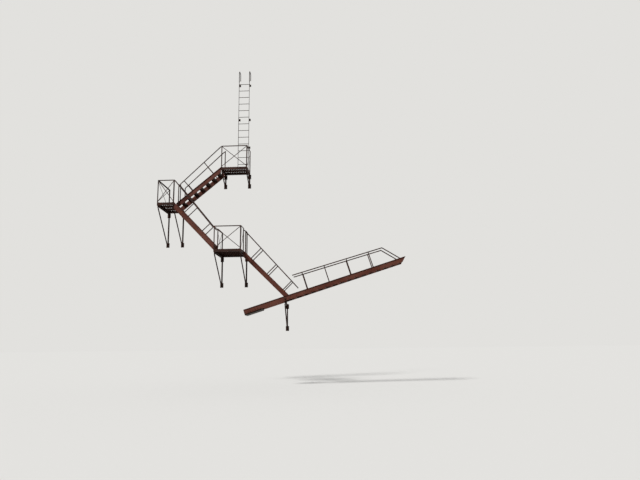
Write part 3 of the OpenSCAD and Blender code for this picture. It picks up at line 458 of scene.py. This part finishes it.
def bare_iron(name, shade, bright, rusted):
    """Unpainted iron that has gone brown: bolts, turned steel and castings."""
    material, tree = new_material(name)
    wear = wear_of(tree)
    patches = step(tree, wear["patch"], 0.35, 0.65)
    rust_start = 0.62 - 0.2 * rusted
    rust = step(tree, wear["fine"] * 0.6 + wear["patch"] * 0.4, rust_start, rust_start + 0.1)
    rubbed = wear["edge"] * 0.25
    colour = blend_colour(tree, patches, srgb(*shade), srgb(*bright))
    colour = blend_colour(tree, rust * 0.8, colour, iron_rust)
    colour = blend_colour(tree, rubbed, colour, rubbed_iron)
    height = wear["grit"] * 0.3 + wear["fine"] * 0.5 - rust * 0.3
    roughness = 0.58 + rust * 0.25
    finish_with(tree, colour, roughness, iron_sheen, height, wear["rounded"], depth=0.0012)
    return material


bolt_iron = bare_iron("bolt_iron", shade=(44, 29, 23), bright=(70, 49, 38), rusted=0.45)
nut_group = nut_shape()
anchor_nut = nut_sizes(across=0.027, height=0.014, washer=(0.018, 0.003), thread=(0.008, 0.011))
plate_half = 0.095
plate_thick = 0.010
anchor_x = 0.045
anchor_z = 0.070
in_plane = 0.0005
to_front = basis((0, -1, 0))
to_back = basis((0, 1, 0))


def points_of(node):
    """The corners of a CAD node, each once."""
    corners = np.array([vertex.co for vertex in frame["nodes"][node].data.vertices])
    return np.unique(corners.round(5), axis=0)


def arm_top(bracket):
    """Height of a bracket's arm, on which pedestals may stand: its highest corner at the back."""
    points = points_of(bracket)
    return float(points[points[:, 1] > -in_plane, 2].max())


def bracket_anchors(bracket):
    """The four anchor bolts of each of a bracket's two plates."""
    low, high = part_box(bracket)
    middle = (low.x + high.x) / 2
    return [
        (Vector((middle + dx, -plate_thick, z + dz)), to_front)
        for z in (arm_top(bracket) - plate_half, low.z + plate_half)
        for dx in (-anchor_x, anchor_x)
        for dz in (-anchor_z, anchor_z)
    ]


anchors = [place for bracket in deck_brackets + ["pivot_bracket"] for place in bracket_anchors(bracket)]
fixings("wall_anchor_bolts", nut_group, anchors, anchor_nut, bolt_iron, "stair")


def rivet_shape():
    """A round rivet head: a flattened ball that is sunk to its middle."""
    group, tree, size = shape_tree("round_head", ["Head Radius", "Head Height"])
    ball = tree.node("GeometryNodeMeshUVSphere", {}, {"Segments": 10, "Rings": 6, "Radius": 1.0})
    radius = size["Head Radius"]
    stretch = tree.node("ShaderNodeCombineXYZ", {}, {"X": radius, "Y": radius, "Z": size["Head Height"]})
    dome = tree.node("GeometryNodeTransform", {}, {"Geometry": ball, "Scale": stretch})
    put_at_places(tree, size, [tree.node("GeometryNodeSetShadeSmooth", {}, {"Geometry": dome})])
    return group


rivet_group = rivet_shape()
large_rivet = {"Head Radius": 0.0095, "Head Height": 0.006}
tee_sizes = {bracket: 0.060 for bracket in deck_brackets} | {"pivot_bracket": 0.050}
strut_width = 0.050
strut_half_thick = 0.005
strut_from_end = 0.012
strut_lap = 0.010
to_left = basis((-1, 0, 0))
to_right = basis((1, 0, 0))
both_sides = ((-1, to_left), (1, to_right))


def strut_ends(bracket):
    """Where a strut laps the webs of the tee bars: under the arm's front end, and low at the back."""
    tee = tee_sizes[bracket]
    low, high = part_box(bracket)
    middle = (low.x + high.x) / 2
    arm_end = Vector((middle, low.y + strut_width + strut_from_end, arm_top(bracket) - tee + strut_lap))
    foot_y = -tee / 2
    foot_z = low.z + strut_width
    slope = (arm_end.z - foot_z) / (arm_end.y - foot_y)
    return arm_end, Vector((middle, foot_y - tee / 4, foot_z - slope * tee / 4))


strut_heads = [
    (end + Vector((side * strut_half_thick, 0, 0)), turn)
    for bracket in tee_sizes for end in strut_ends(bracket) for side, turn in both_sides
]
fixings("strut_rivets", rivet_group, strut_heads, large_rivet, deck_paint_with_shade, "stair")

leg_half = 0.023
leg_round = 0.0015
leg_thick = 0.006
leg_outside = strut_width / 2 + 0.001
leg_inside = leg_outside - leg_thick
clear_of_web = 0.004


def strut_leg(bracket):
    """Corners and faces of a strut's cross leg, cut level under the arm and plumb at the back bar."""
    arm_end, foot_end = strut_ends(bracket)
    along = (foot_end - arm_end).normalized()
    outward = Vector((0, along.z, -along.y))
    level_cut = arm_top(bracket) - tee_sizes[bracket] - clear_of_web
    plumb_cut = -tee_sizes[bracket] - clear_of_web
    section = [
        (leg_half - leg_round, leg_inside), (leg_half, leg_inside + leg_round),
        (leg_half, leg_outside - leg_round), (leg_half - leg_round, leg_outside)
    ]
    section += [(-x, n) for x, n in section[::-1]]
    corners = []
    for x, n in section:
        start = arm_end + Vector((x, 0, 0)) + outward * n
        corners.append(start + along * ((level_cut - start.z) / along.z))
        corners.append(start + along * ((plumb_cut - start.y) / along.y))
    count = len(section)
    faces = [(2 * i, 2 * ((i + 1) % count), 2 * ((i + 1) % count) + 1, 2 * i + 1) for i in range(count)]
    faces += [tuple(range(0, 2 * count, 2))[::-1], tuple(range(1, 2 * count, 2))]
    return corners, faces


leg_corners = []
leg_faces = []
for bracket in tee_sizes:
    corners, faces = strut_leg(bracket)
    leg_faces += [[len(leg_corners) + i for i in face] for face in faces]
    leg_corners += corners
leg_mesh = bpy.data.meshes.new("strut_legs")
leg_mesh.from_pydata(leg_corners, [], leg_faces)
leg_mesh.materials.append(deck_paint_with_shade)
strut_legs = put_in_scene("strut_legs", leg_mesh)
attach(strut_legs, "stair")

frame_nut = nut_sizes(across=0.014, height=0.008, washer=(0.0095, 0.002), thread=(0.0045, 0.006))
tee_flange = 0.008
nut_from_web = 0.019
nut_from_end = 0.022
nut_from_back = 0.042
downward = basis((0, 0, -1))
frame_nuts = []
for bracket in deck_brackets:
    low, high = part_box(bracket)
    for dx in (-nut_from_web, nut_from_web):
        for y in (low.y + nut_from_end, -nut_from_back):
            place = Vector(((low.x + high.x) / 2 + dx, y, arm_top(bracket) - tee_flange))
            frame_nuts.append((place, downward))
fixings("bracket_nuts", nut_group, frame_nuts, frame_nut, bolt_iron, "stair")


# The deck frames
# Each deck lies on a ring of rolled channels with flat bearers between, riveted together at the
# corners and where the bearers end, and painted like the brackets.
coat_nodes(deck_paint_with_shade, *[f"{deck}_frame" for deck in deck_names])
bearers = {"top_platform": 1, "side_landing": 2, "balcony": 2}
rivet_row = 0.026
near_corner = 0.024
next_rivet = 0.060


def bearer_rows(deck):
    """The place along Y of each of a deck's bearers."""
    low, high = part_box(f"{deck}_frame")
    return [low.y + (high.y - low.y) * i / (bearers[deck] + 1) for i in range(1, bearers[deck] + 1)]


frame_heads = []
for deck in deck_names:
    low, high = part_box(f"{deck}_frame")
    middle = (low.z + high.z) / 2
    for dz in (-rivet_row, rivet_row):
        for x in (low.x + near_corner, low.x + next_rivet, high.x - next_rivet, high.x - near_corner):
            frame_heads.append((Vector((x, low.y, middle + dz)), to_front))
        for y in bearer_rows(deck):
            frame_heads.append((Vector((low.x, y, middle + dz)), to_left))
            frame_heads.append((Vector((high.x, y, middle + dz)), to_right))
fixings("frame_rivets", rivet_group, frame_heads, large_rivet, deck_paint_with_shade, "stair")


# The deck slats
# Flat bars are laid across the frames with gaps between them, each riveted to the front and
# back channels and to every bearer. Feet have worn the dark paint, and rust has come up in it.
slat_paint = old_paint("slat_paint", coat=(40, 27, 22), faded=(58, 41, 34), soot_and_shade=(22, 16, 13), rusted=0.7)
coat_nodes(slat_paint, *[f"{deck}_slats" for deck in deck_names])
upright = basis(vertical)
small_rivet = {"Head Radius": 0.0065, "Head Height": 0.0035}
rivet_from_end = 0.022
slat_heads = []
for deck in deck_names:
    low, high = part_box(f"{deck}_slats")
    sides = np.unique(points_of(f"{deck}_slats")[:, 0])
    for x in (sides[::2] + sides[1::2]) / 2:
        for y in (low.y + rivet_from_end, *bearer_rows(deck), high.y - rivet_from_end):
            slat_heads.append((Vector((x, y, high.z)), upright))
fixings("slat_rivets", rivet_group, slat_heads, small_rivet, slat_paint, "stair")


# The deck rails
# Angle posts on square foot plates carry an angle top rail, and two flats cross in each panel.
# The flats are riveted where they cross and to the posts, and the plates are bolted down.
rail_paint = old_paint("rail_paint", coat=(38, 22, 17), faded=(54, 34, 27), soot_and_shade=(21, 14, 11), rusted=0.45)
front_rails = [f"{deck}_front_rail" for deck in deck_names]
end_rails = ["top_platform_end_rail", "side_landing_end_rail", "balcony_right_rail", "balcony_left_rail"]
coat_nodes(rail_paint, *front_rails, *end_rails)
plate_bolt = nut_sizes(across=0.013, height=0.007, washer=(0.009, 0.002), thread=(0.004, 0.005))
foot_thick = 0.006
bolt_from_corner = (0.052, 0.020)
well_above_deck = 0.3
post_apart = 0.1


def groups(points, values, gap):
    """The points in sets, split where their sorted values jump by more than gap."""
    order = np.argsort(values)
    jumps = np.flatnonzero(np.diff(values[order]) > gap) + 1
    return [points[part] for part in np.split(order, jumps)]


def post_bolts(rail, deck):
    """The two bolts of each angle post, on the parts of its foot plate that its legs leave free.
    The plate's corner nearest to the post's top is the one that the legs stand on."""
    points = points_of(rail)
    deck_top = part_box(f"{deck}_slats")[1].z
    heads = points[points[:, 2] > deck_top + well_above_deck][:, :2]
    plates = points[abs(points[:, 2] - deck_top - foot_thick) < in_plane]
    places = []
    for plate in groups(plates, plates[:, 0] + plates[:, 1], post_apart):
        low = plate.min(axis=0)
        high = plate.max(axis=0)
        corners = [np.array((x, y)) for x in (low[0], high[0]) for y in (low[1], high[1])]
        corner = min(corners, key=lambda spot: np.hypot(*(heads - spot).T).min())
        inward = np.sign((low + high)[:2] - 2 * corner)
        for reach in (bolt_from_corner, bolt_from_corner[::-1]):
            places.append((Vector((*(corner + inward * reach), plate[0][2])), upright))
    return places


carried_by = {rail: deck for rail in front_rails + end_rails for deck in deck_names if rail.startswith(deck)}
carried_by["upper_flight_inner_rail"] = "top_platform"
carried_by["middle_flight_inner_rail"] = "side_landing"
foot_bolts = [place for rail, deck in carried_by.items() for place in post_bolts(rail, deck)]
fixings("rail_foot_bolts", nut_group, foot_bolts, plate_bolt, bolt_iron, "stair")

brace_rivet = {"Head Radius": 0.008, "Head Height": 0.0045}
brace_thick = 0.005
brace_end = 0.052
post_middle = 0.020
about_crossing = 0.12


def brace_rivets(rail, along_x):
    """The rivets where a panel's flats cross and where they end on its posts, on both faces."""
    low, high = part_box(rail)
    points = points_of(rail)
    near_middle = points[abs(points[:, 2] - (low.z + high.z) / 2) < about_crossing]
    crossing = Vector((near_middle.min(axis=0) + near_middle.max(axis=0)) / 2)
    level_ends = (low.z + brace_end, high.z - brace_end)
    if along_x:
        spots = [(crossing.x, crossing.z)]
        spots += [(x, z) for x in (low.x + post_middle, high.x - post_middle) for z in level_ends]
        faces = ((low.y, to_front), (low.y + brace_thick, to_back))
        return [(Vector((x, y, z)), turn) for x, z in spots for y, turn in faces]
    spots = [(crossing.y, crossing.z)] + [(high.y - post_middle, z) for z in level_ends]
    if crossing.x > (low.x + high.x) / 2:
        faces = ((high.x - brace_thick, to_left), (high.x, to_right))
    else:
        faces = ((low.x + brace_thick, to_right), (low.x, to_left))
    return [(Vector((x, y, z)), turn) for y, z in spots for x, turn in faces]


brace_heads = [place for rail in front_rails for place in brace_rivets(rail, along_x=True)]
for rail in ("top_platform_end_rail", "side_landing_end_rail", "balcony_left_rail"):
    brace_heads += brace_rivets(rail, along_x=False)
fixings("brace_rivets", rivet_group, brace_heads, brace_rivet, rail_paint, "stair")


# The treads of the fixed flights
# Each tread is a plate with its front and back edges bent down. An angle clip under each end
# holds it to the stringer, riveted to the tread and bolted through the stringer's web.
flight_names = ["upper_flight", "middle_flight", "lower_flight"]
coat_nodes(slat_paint, *[f"{flight}_treads" for flight in flight_names])
clip_sizes = {"Length": 0.150, "Leg": 0.028, "Thickness": 0.004}
clip_nut = nut_sizes(across=0.016, height=0.009, washer=(0.011, 0.002), thread=(0.005, 0.006))
tread_thick = 0.004
web_thick = 0.006
clip_bolt = 0.055
leg_hole = 0.016
tread_apart = 0.06
front_and_back = ((-1, to_front), (1, to_back))


def clip_shape():
    """An angle clip of two legs. The plumb one is a little smaller, so that no faces coincide."""
    group, tree, size = shape_tree("angle_clip", ["Length", "Leg", "Thickness"])
    length = size["Length"]
    leg = size["Leg"]
    thickness = size["Thickness"]
    plumb_share = 0.93
    level_size = tree.node("ShaderNodeCombineXYZ", {}, {"X": length, "Y": leg, "Z": thickness})
    plumb_values = {"X": length * 0.996, "Y": thickness * 0.9, "Z": leg * plumb_share}
    plumb_size = tree.node("ShaderNodeCombineXYZ", {}, plumb_values)
    level_leg = tree.node("GeometryNodeMeshCube", {}, {"Size": level_size})
    plumb_leg = tree.node("GeometryNodeMeshCube", {}, {"Size": plumb_size})
    put_at_places(tree, size, [
        moved(tree, level_leg, y=leg * 0.5, z=thickness * -0.5),
        moved(tree, plumb_leg, y=thickness * 0.5, z=leg * (plumb_share / 2 - 1)),
    ])
    return group


Tread = namedtuple("Tread", "middle half_width")


def tread_tops(treads, normal):
    """The middle of each tread's top face, and half its width, in order along the normal."""
    points = points_of(treads)
    tops = []
    for tread in groups(points, points @ normal, tread_apart):
        height = tread @ normal
        top = tread[height > height.max() - in_plane]
        tops.append(Tread(Vector(top.mean(axis=0)), float(np.ptp(tread[:, 1])) / 2))
    return tops


def tread_fixings(tops, normal):
    """Places of the clips, of the nuts on the webs and of the rivets in the treads."""
    along = Vector((0, 1, 0)).cross(normal)
    clips = []
    nuts = []
    heads = []
    for middle, half_width in tops:
        for side, turn in front_and_back:
            outward = Vector((0, side, 0))
            under = middle + outward * half_width - normal * tread_thick
            clips.append((under, basis(normal, (-outward).cross(normal))))
            for end in (-clip_bolt, clip_bolt):
                nuts.append((under + outward * web_thick + along * end - normal * leg_hole, turn))
                heads.append((middle + outward * (half_width - leg_hole) + along * end, basis(normal)))
    return clips, nuts, heads


clip_group = clip_shape()
level_tops = {flight: tread_tops(f"{flight}_treads", vertical) for flight in flight_names}
every_top = [top for tops in level_tops.values() for top in tops]
clips, nuts, heads = tread_fixings(every_top, vertical)
fixings("tread_clips", clip_group, clips, clip_sizes, deck_paint_with_shade, "stair")
fixings("tread_clip_nuts", nut_group, nuts, clip_nut, bolt_iron, "stair")
fixings("tread_rivets", rivet_group, heads, small_rivet, slat_paint, "stair")


# The stringers of the fixed flights
# Rolled channels with their toes outwards, in a redder and lighter coat than the decks, whose coat is painted
# darker as shade.
# Angle cleats bolt them to the decks, and a hanger plate riveted to each lower one carries the
# shaft of the swing stair.
stringer_paint = old_paint(
    "stringer_paint", coat=(82, 40, 30), faded=(99, 58, 47), soot_and_shade=(36, 22, 17), rusted=0.6
)
flight_sides = [f"{flight}_{side}" for flight in flight_names for side in ("outer", "inner")]
coat_nodes(stringer_paint, *[f"{side}_stringer" for side in flight_sides])
cleat_bolt = 0.026
cleat_rows = (0.018, 0.052)
cleat_nuts = []
for flight, deck, down in zip(flight_names, deck_names, (-1, 1, 1)):
    low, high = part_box(f"{deck}_frame")
    tread = level_tops[flight][0]
    edge = high.x if down > 0 else low.x
    for side, turn in front_and_back:
        web_face = tread.middle.y + side * (tread.half_width + web_thick)
        for row in cleat_rows:
            cleat_nuts.append((Vector((edge + down * cleat_bolt, web_face, low.z + row)), turn))
fixings("cleat_nuts", nut_group, cleat_nuts, clip_nut, bolt_iron, "stair")


def way_down(tops):
    """The direction down a flight, from its highest tread to its lowest."""
    return (tops[0].middle - tops[-1].middle).normalized()


hinge = frame["joints"][0]
pivot = Vector(hinge["pos_m"])
lower_tops = level_tops["lower_flight"]
lower_way = way_down(lower_tops)
lower_square = Vector((0, -1, 0)).cross(lower_way)
hanger_thick = 0.010
hanger_columns = (-0.058, -0.034)
hanger_rows = (0.040, 0.068, 0.096)
hanger_face = lower_tops[0].half_width + hanger_thick
hanger_heads = [
    (pivot + lower_way * column + lower_square * row + Vector((0, side * hanger_face, 0)), turn)
    for side, turn in front_and_back for column in hanger_columns for row in hanger_rows
]
fixings("hanger_rivets", rivet_group, hanger_heads, large_rivet, stringer_paint, "stair")


# The handrails of the fixed flights
# Angle handrails stand on flat posts, each with a small foot plate bolted to the stringer's
# top flange. They are painted like the deck rails.
coat_nodes(rail_paint, *[f"{side}_rail" for side in flight_sides])
post_nut = nut_sizes(across=0.010, height=0.006, washer=(0.0065, 0.0015), thread=(0.003, 0.004))
post_bolt = 0.011
post_foot_top = 0.0063
flat_post_apart = 0.15


def flat_post_bolts(rail, stringer, down):
    """The two bolts beside each flat post, on the foot plates that lie on the stringer's flange."""
    square = Vector((0, 1, 0)).cross(down)
    square *= math.copysign(1, square.z)
    points = points_of(rail)
    above_flange = points @ square - (points_of(stringer) @ square).max()
    plates = points[abs(above_flange - post_foot_top) < in_plane]
    places = []
    for plate in groups(plates, plates @ down, flat_post_apart):
        middle = Vector((plate.min(axis=0) + plate.max(axis=0)) / 2)
        places += [(middle + Vector((0, dy, 0)), basis(square)) for dy in (-post_bolt, post_bolt)]
    return places


flight_post_bolts = []
for flight in flight_names:
    down = way_down(level_tops[flight])
    for side in ("outer", "inner"):
        flight_post_bolts += flat_post_bolts(f"{flight}_{side}_rail", f"{flight}_{side}_stringer", down)
fixings("handrail_post_bolts", nut_group, flight_post_bolts, post_nut, bolt_iron, "stair")


# The pivot
# A bright turned shaft, gone brown, lies in two pedestals bolted to the arm of their bracket.
# A nut with a split pin closes each of its ends.
shaft_iron = bare_iron("shaft_iron", shade=(58, 45, 38), bright=(92, 77, 66), rusted=0.2)
coat_nodes(shaft_iron, "pivot_shaft")
seat = arm_top("pivot_bracket")
foot_top = 0.012
pedestal_apart = 0.1
pedestal_bolt_x = 0.014
pedestal_bolt_y = 0.026
pedestal_points = points_of("pivot_bracket")
feet = pedestal_points[abs(pedestal_points[:, 2] - seat - foot_top) < in_plane]
pedestal_bolts = [
    (Vector((pivot.x + dx, (foot[:, 1].min() + foot[:, 1].max()) / 2 + dy, seat + foot_top)), upright)
    for foot in groups(feet, feet[:, 1], pedestal_apart)
    for dx in (-pedestal_bolt_x, pedestal_bolt_x)
    for dy in (-pedestal_bolt_y, pedestal_bolt_y)
]
fixings("pedestal_bolts", nut_group, pedestal_bolts, frame_nut, bolt_iron, "stair")

shaft_nut = nut_sizes(across=0.036, height=0.016, washer=(0.024, 0.003), thread=(0.011, 0.014))
shaft_low, shaft_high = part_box("pivot_shaft")
front_end = Vector((pivot.x, shaft_low.y, pivot.z))
back_end = Vector((pivot.x, shaft_high.y, pivot.z))
shaft_ends = [(front_end, to_front), (back_end, to_back)]
fixings("shaft_nuts", nut_group, shaft_ends, shaft_nut, bolt_iron, "stair")


def ring(tree, steps, radius):
    values = {"Resolution": steps, "Radius": radius}
    return tree.node("GeometryNodeCurvePrimitiveCircle", {"mode": "RADIUS"}, values)


def pin_shape():
    """A split pin: a round wire with its eye on top."""
    group, tree, size = shape_tree("split_pin", ["Pin Radius", "Pin Length", "Eye Radius"])
    leg = cylinder(tree, 8, size["Pin Radius"], size["Pin Length"])
    curves = {"Curve": ring(tree, 14, size["Eye Radius"]), "Profile Curve": ring(tree, 6, size["Pin Radius"])}
    eye = tree.node("GeometryNodeCurveToMesh", {}, curves)
    eye = tree.node("GeometryNodeTransform", {}, {"Geometry": eye, "Rotation": (math.pi / 2, 0, 0)})
    eye_height = size["Pin Length"] * 0.5 + size["Eye Radius"]
    put_at_places(tree, size, [leg, moved(tree, eye, z=eye_height)])
    return group


pin_sizes = {"Pin Radius": 0.002, "Pin Length": 0.036, "Eye Radius": 0.005}
pin_out = Vector((0, 0.026, 0))
pins = [(front_end - pin_out, basis((0.3, 0, 1))), (back_end + pin_out, basis((-0.5, 0, 1)))]
fixings("shaft_split_pins", pin_shape(), pins, pin_sizes, bolt_iron, "stair")


# The swing stair
# Its stringers, treads and handrails are made and fixed like those of the fixed flights, and
# its treads come level when it is lowered.
coat_nodes(stringer_paint, "swing_outer_stringer", "swing_inner_stringer")
coat_nodes(slat_paint, "swing_treads")
coat_nodes(rail_paint, "swing_outer_rail", "swing_inner_rail")
full_swing = math.radians(hinge["range_deg"][1])
swing_normal = Vector((-math.sin(full_swing), 0, math.cos(full_swing)))
swing_tops = tread_tops("swing_treads", swing_normal)
swing_way = way_down(swing_tops)
clips, nuts, heads = tread_fixings(swing_tops, swing_normal)
fixings("swing_tread_clips", clip_group, clips, clip_sizes, deck_paint_with_shade, "swing_stair")
fixings("swing_clip_nuts", nut_group, nuts, clip_nut, bolt_iron, "swing_stair")
fixings("swing_tread_rivets", rivet_group, heads, small_rivet, slat_paint, "swing_stair")
swing_post_bolts = [
    place for side in ("outer", "inner")
    for place in flat_post_bolts(f"swing_{side}_rail", f"swing_{side}_stringer", swing_way)
]
fixings("swing_post_bolts", nut_group, swing_post_bolts, post_nut, bolt_iron, "swing_stair")


# The counterweight
# A row of cast-iron bars lies between the short arms, drawn together by tie bolts through the
# arms' webs. The skin of the casting is rough, dark and oily brown.
cast_iron = bare_iron("cast_iron", shade=(36, 28, 21), bright=(54, 43, 33), rusted=0.3)
coat_nodes(cast_iron, "counterweight")
bars = 7
tie_nut = nut_sizes(across=0.024, height=0.013, washer=(0.017, 0.003), thread=(0.008, 0.012))
tie_drop = 0.045
tie_face = swing_tops[0].half_width + web_thick
swing_square = Vector((0, -1, 0)).cross(swing_way)
reach = (points_of("counterweight") - np.array(pivot)) @ swing_way
tie_nuts = [
    (
        pivot + swing_way * float(reach.min() + np.ptp(reach) * (i + 0.5) / bars)
        - swing_square * tie_drop + Vector((0, side * tie_face, 0)),
        turn
    )
    for i in range(bars) for side, turn in front_and_back
]
fixings("weight_tie_nuts", nut_group, tie_nuts, tie_nut, bolt_iron, "swing_stair")


# The roof ladder
# Two flat stiles carry round rungs whose ends are hammered over on the outside. Standoffs with
# bolted pads steady the stiles, and a round bar on top of each is bent over into a hook.
ladder_paint = old_paint(
    "ladder_paint", coat=(36, 25, 20), faded=(50, 36, 30), soot_and_shade=(21, 15, 12), rusted=0.4
)
coat_nodes(ladder_paint, "roof_ladder_stiles", "roof_ladder_rungs")
stile_thick = 0.010
rung_apart = 0.06
rung_low, rung_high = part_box("roof_ladder_rungs")
ladder_y = (rung_low.y + rung_high.y) / 2
rungs = points_of("roof_ladder_rungs")
rung_heads = []
for rung in groups(rungs, rungs[:, 2], rung_apart):
    z = float((rung[:, 2].min() + rung[:, 2].max()) / 2)
    rung_heads.append((Vector((rung_low.x - stile_thick, ladder_y, z)), to_left))
    rung_heads.append((Vector((rung_high.x + stile_thick, ladder_y, z)), to_right))
rung_head = {"Head Radius": 0.014, "Head Height": 0.006}
fixings("rung_heads", rivet_group, rung_heads, rung_head, ladder_paint, "stair")

pad_thick = 0.008
pad_bolt = 0.025
pad_apart = 0.1
standoff_apart = 0.2
standoff_rivet = 0.012
stiles = points_of("roof_ladder_stiles")
pad_backs = stiles[abs(stiles[:, 1]) < in_plane]
pads = [
    Vector((pad.min(axis=0) + pad.max(axis=0)) / 2)
    for standoffs in groups(pad_backs, pad_backs[:, 2], standoff_apart)
    for pad in groups(standoffs, standoffs[:, 0], pad_apart)
]
pad_bolts = [(pad + Vector((dx, -pad_thick, 0)), to_front) for pad in pads for dx in (-pad_bolt, pad_bolt)]
fixings("ladder_pad_bolts", nut_group, pad_bolts, frame_nut, bolt_iron, "stair")
standoff_heads = [
    (Vector((pad.x + side * stile_thick / 2, ladder_y + dy, pad.z)), turn)
    for pad in pads for side, turn in both_sides for dy in (-standoff_rivet, standoff_rivet)
]
fixings("standoff_rivets", rivet_group, standoff_heads, brace_rivet, ladder_paint, "stair")

stile_foot_thick = 0.008
stile_foot_bolt = 0.032
foot_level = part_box("top_platform_slats")[1].z + stile_foot_thick
stile_feet = [
    (Vector((x + dx, ladder_y + dy, foot_level)), upright)
    for x in (rung_low.x - stile_thick / 2, rung_high.x + stile_thick / 2)
    for dx in (-stile_foot_bolt, stile_foot_bolt) for dy in (-stile_foot_bolt, stile_foot_bolt)
]
fixings("ladder_foot_bolts", nut_group, stile_feet, plate_bolt, bolt_iron, "stair")


# The boxes
# Both boxes are worked out as lists, the plain stair's and the dressed stair's.
[[list(map(float, corner)) for corner in box] for box in (cad_box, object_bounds())]
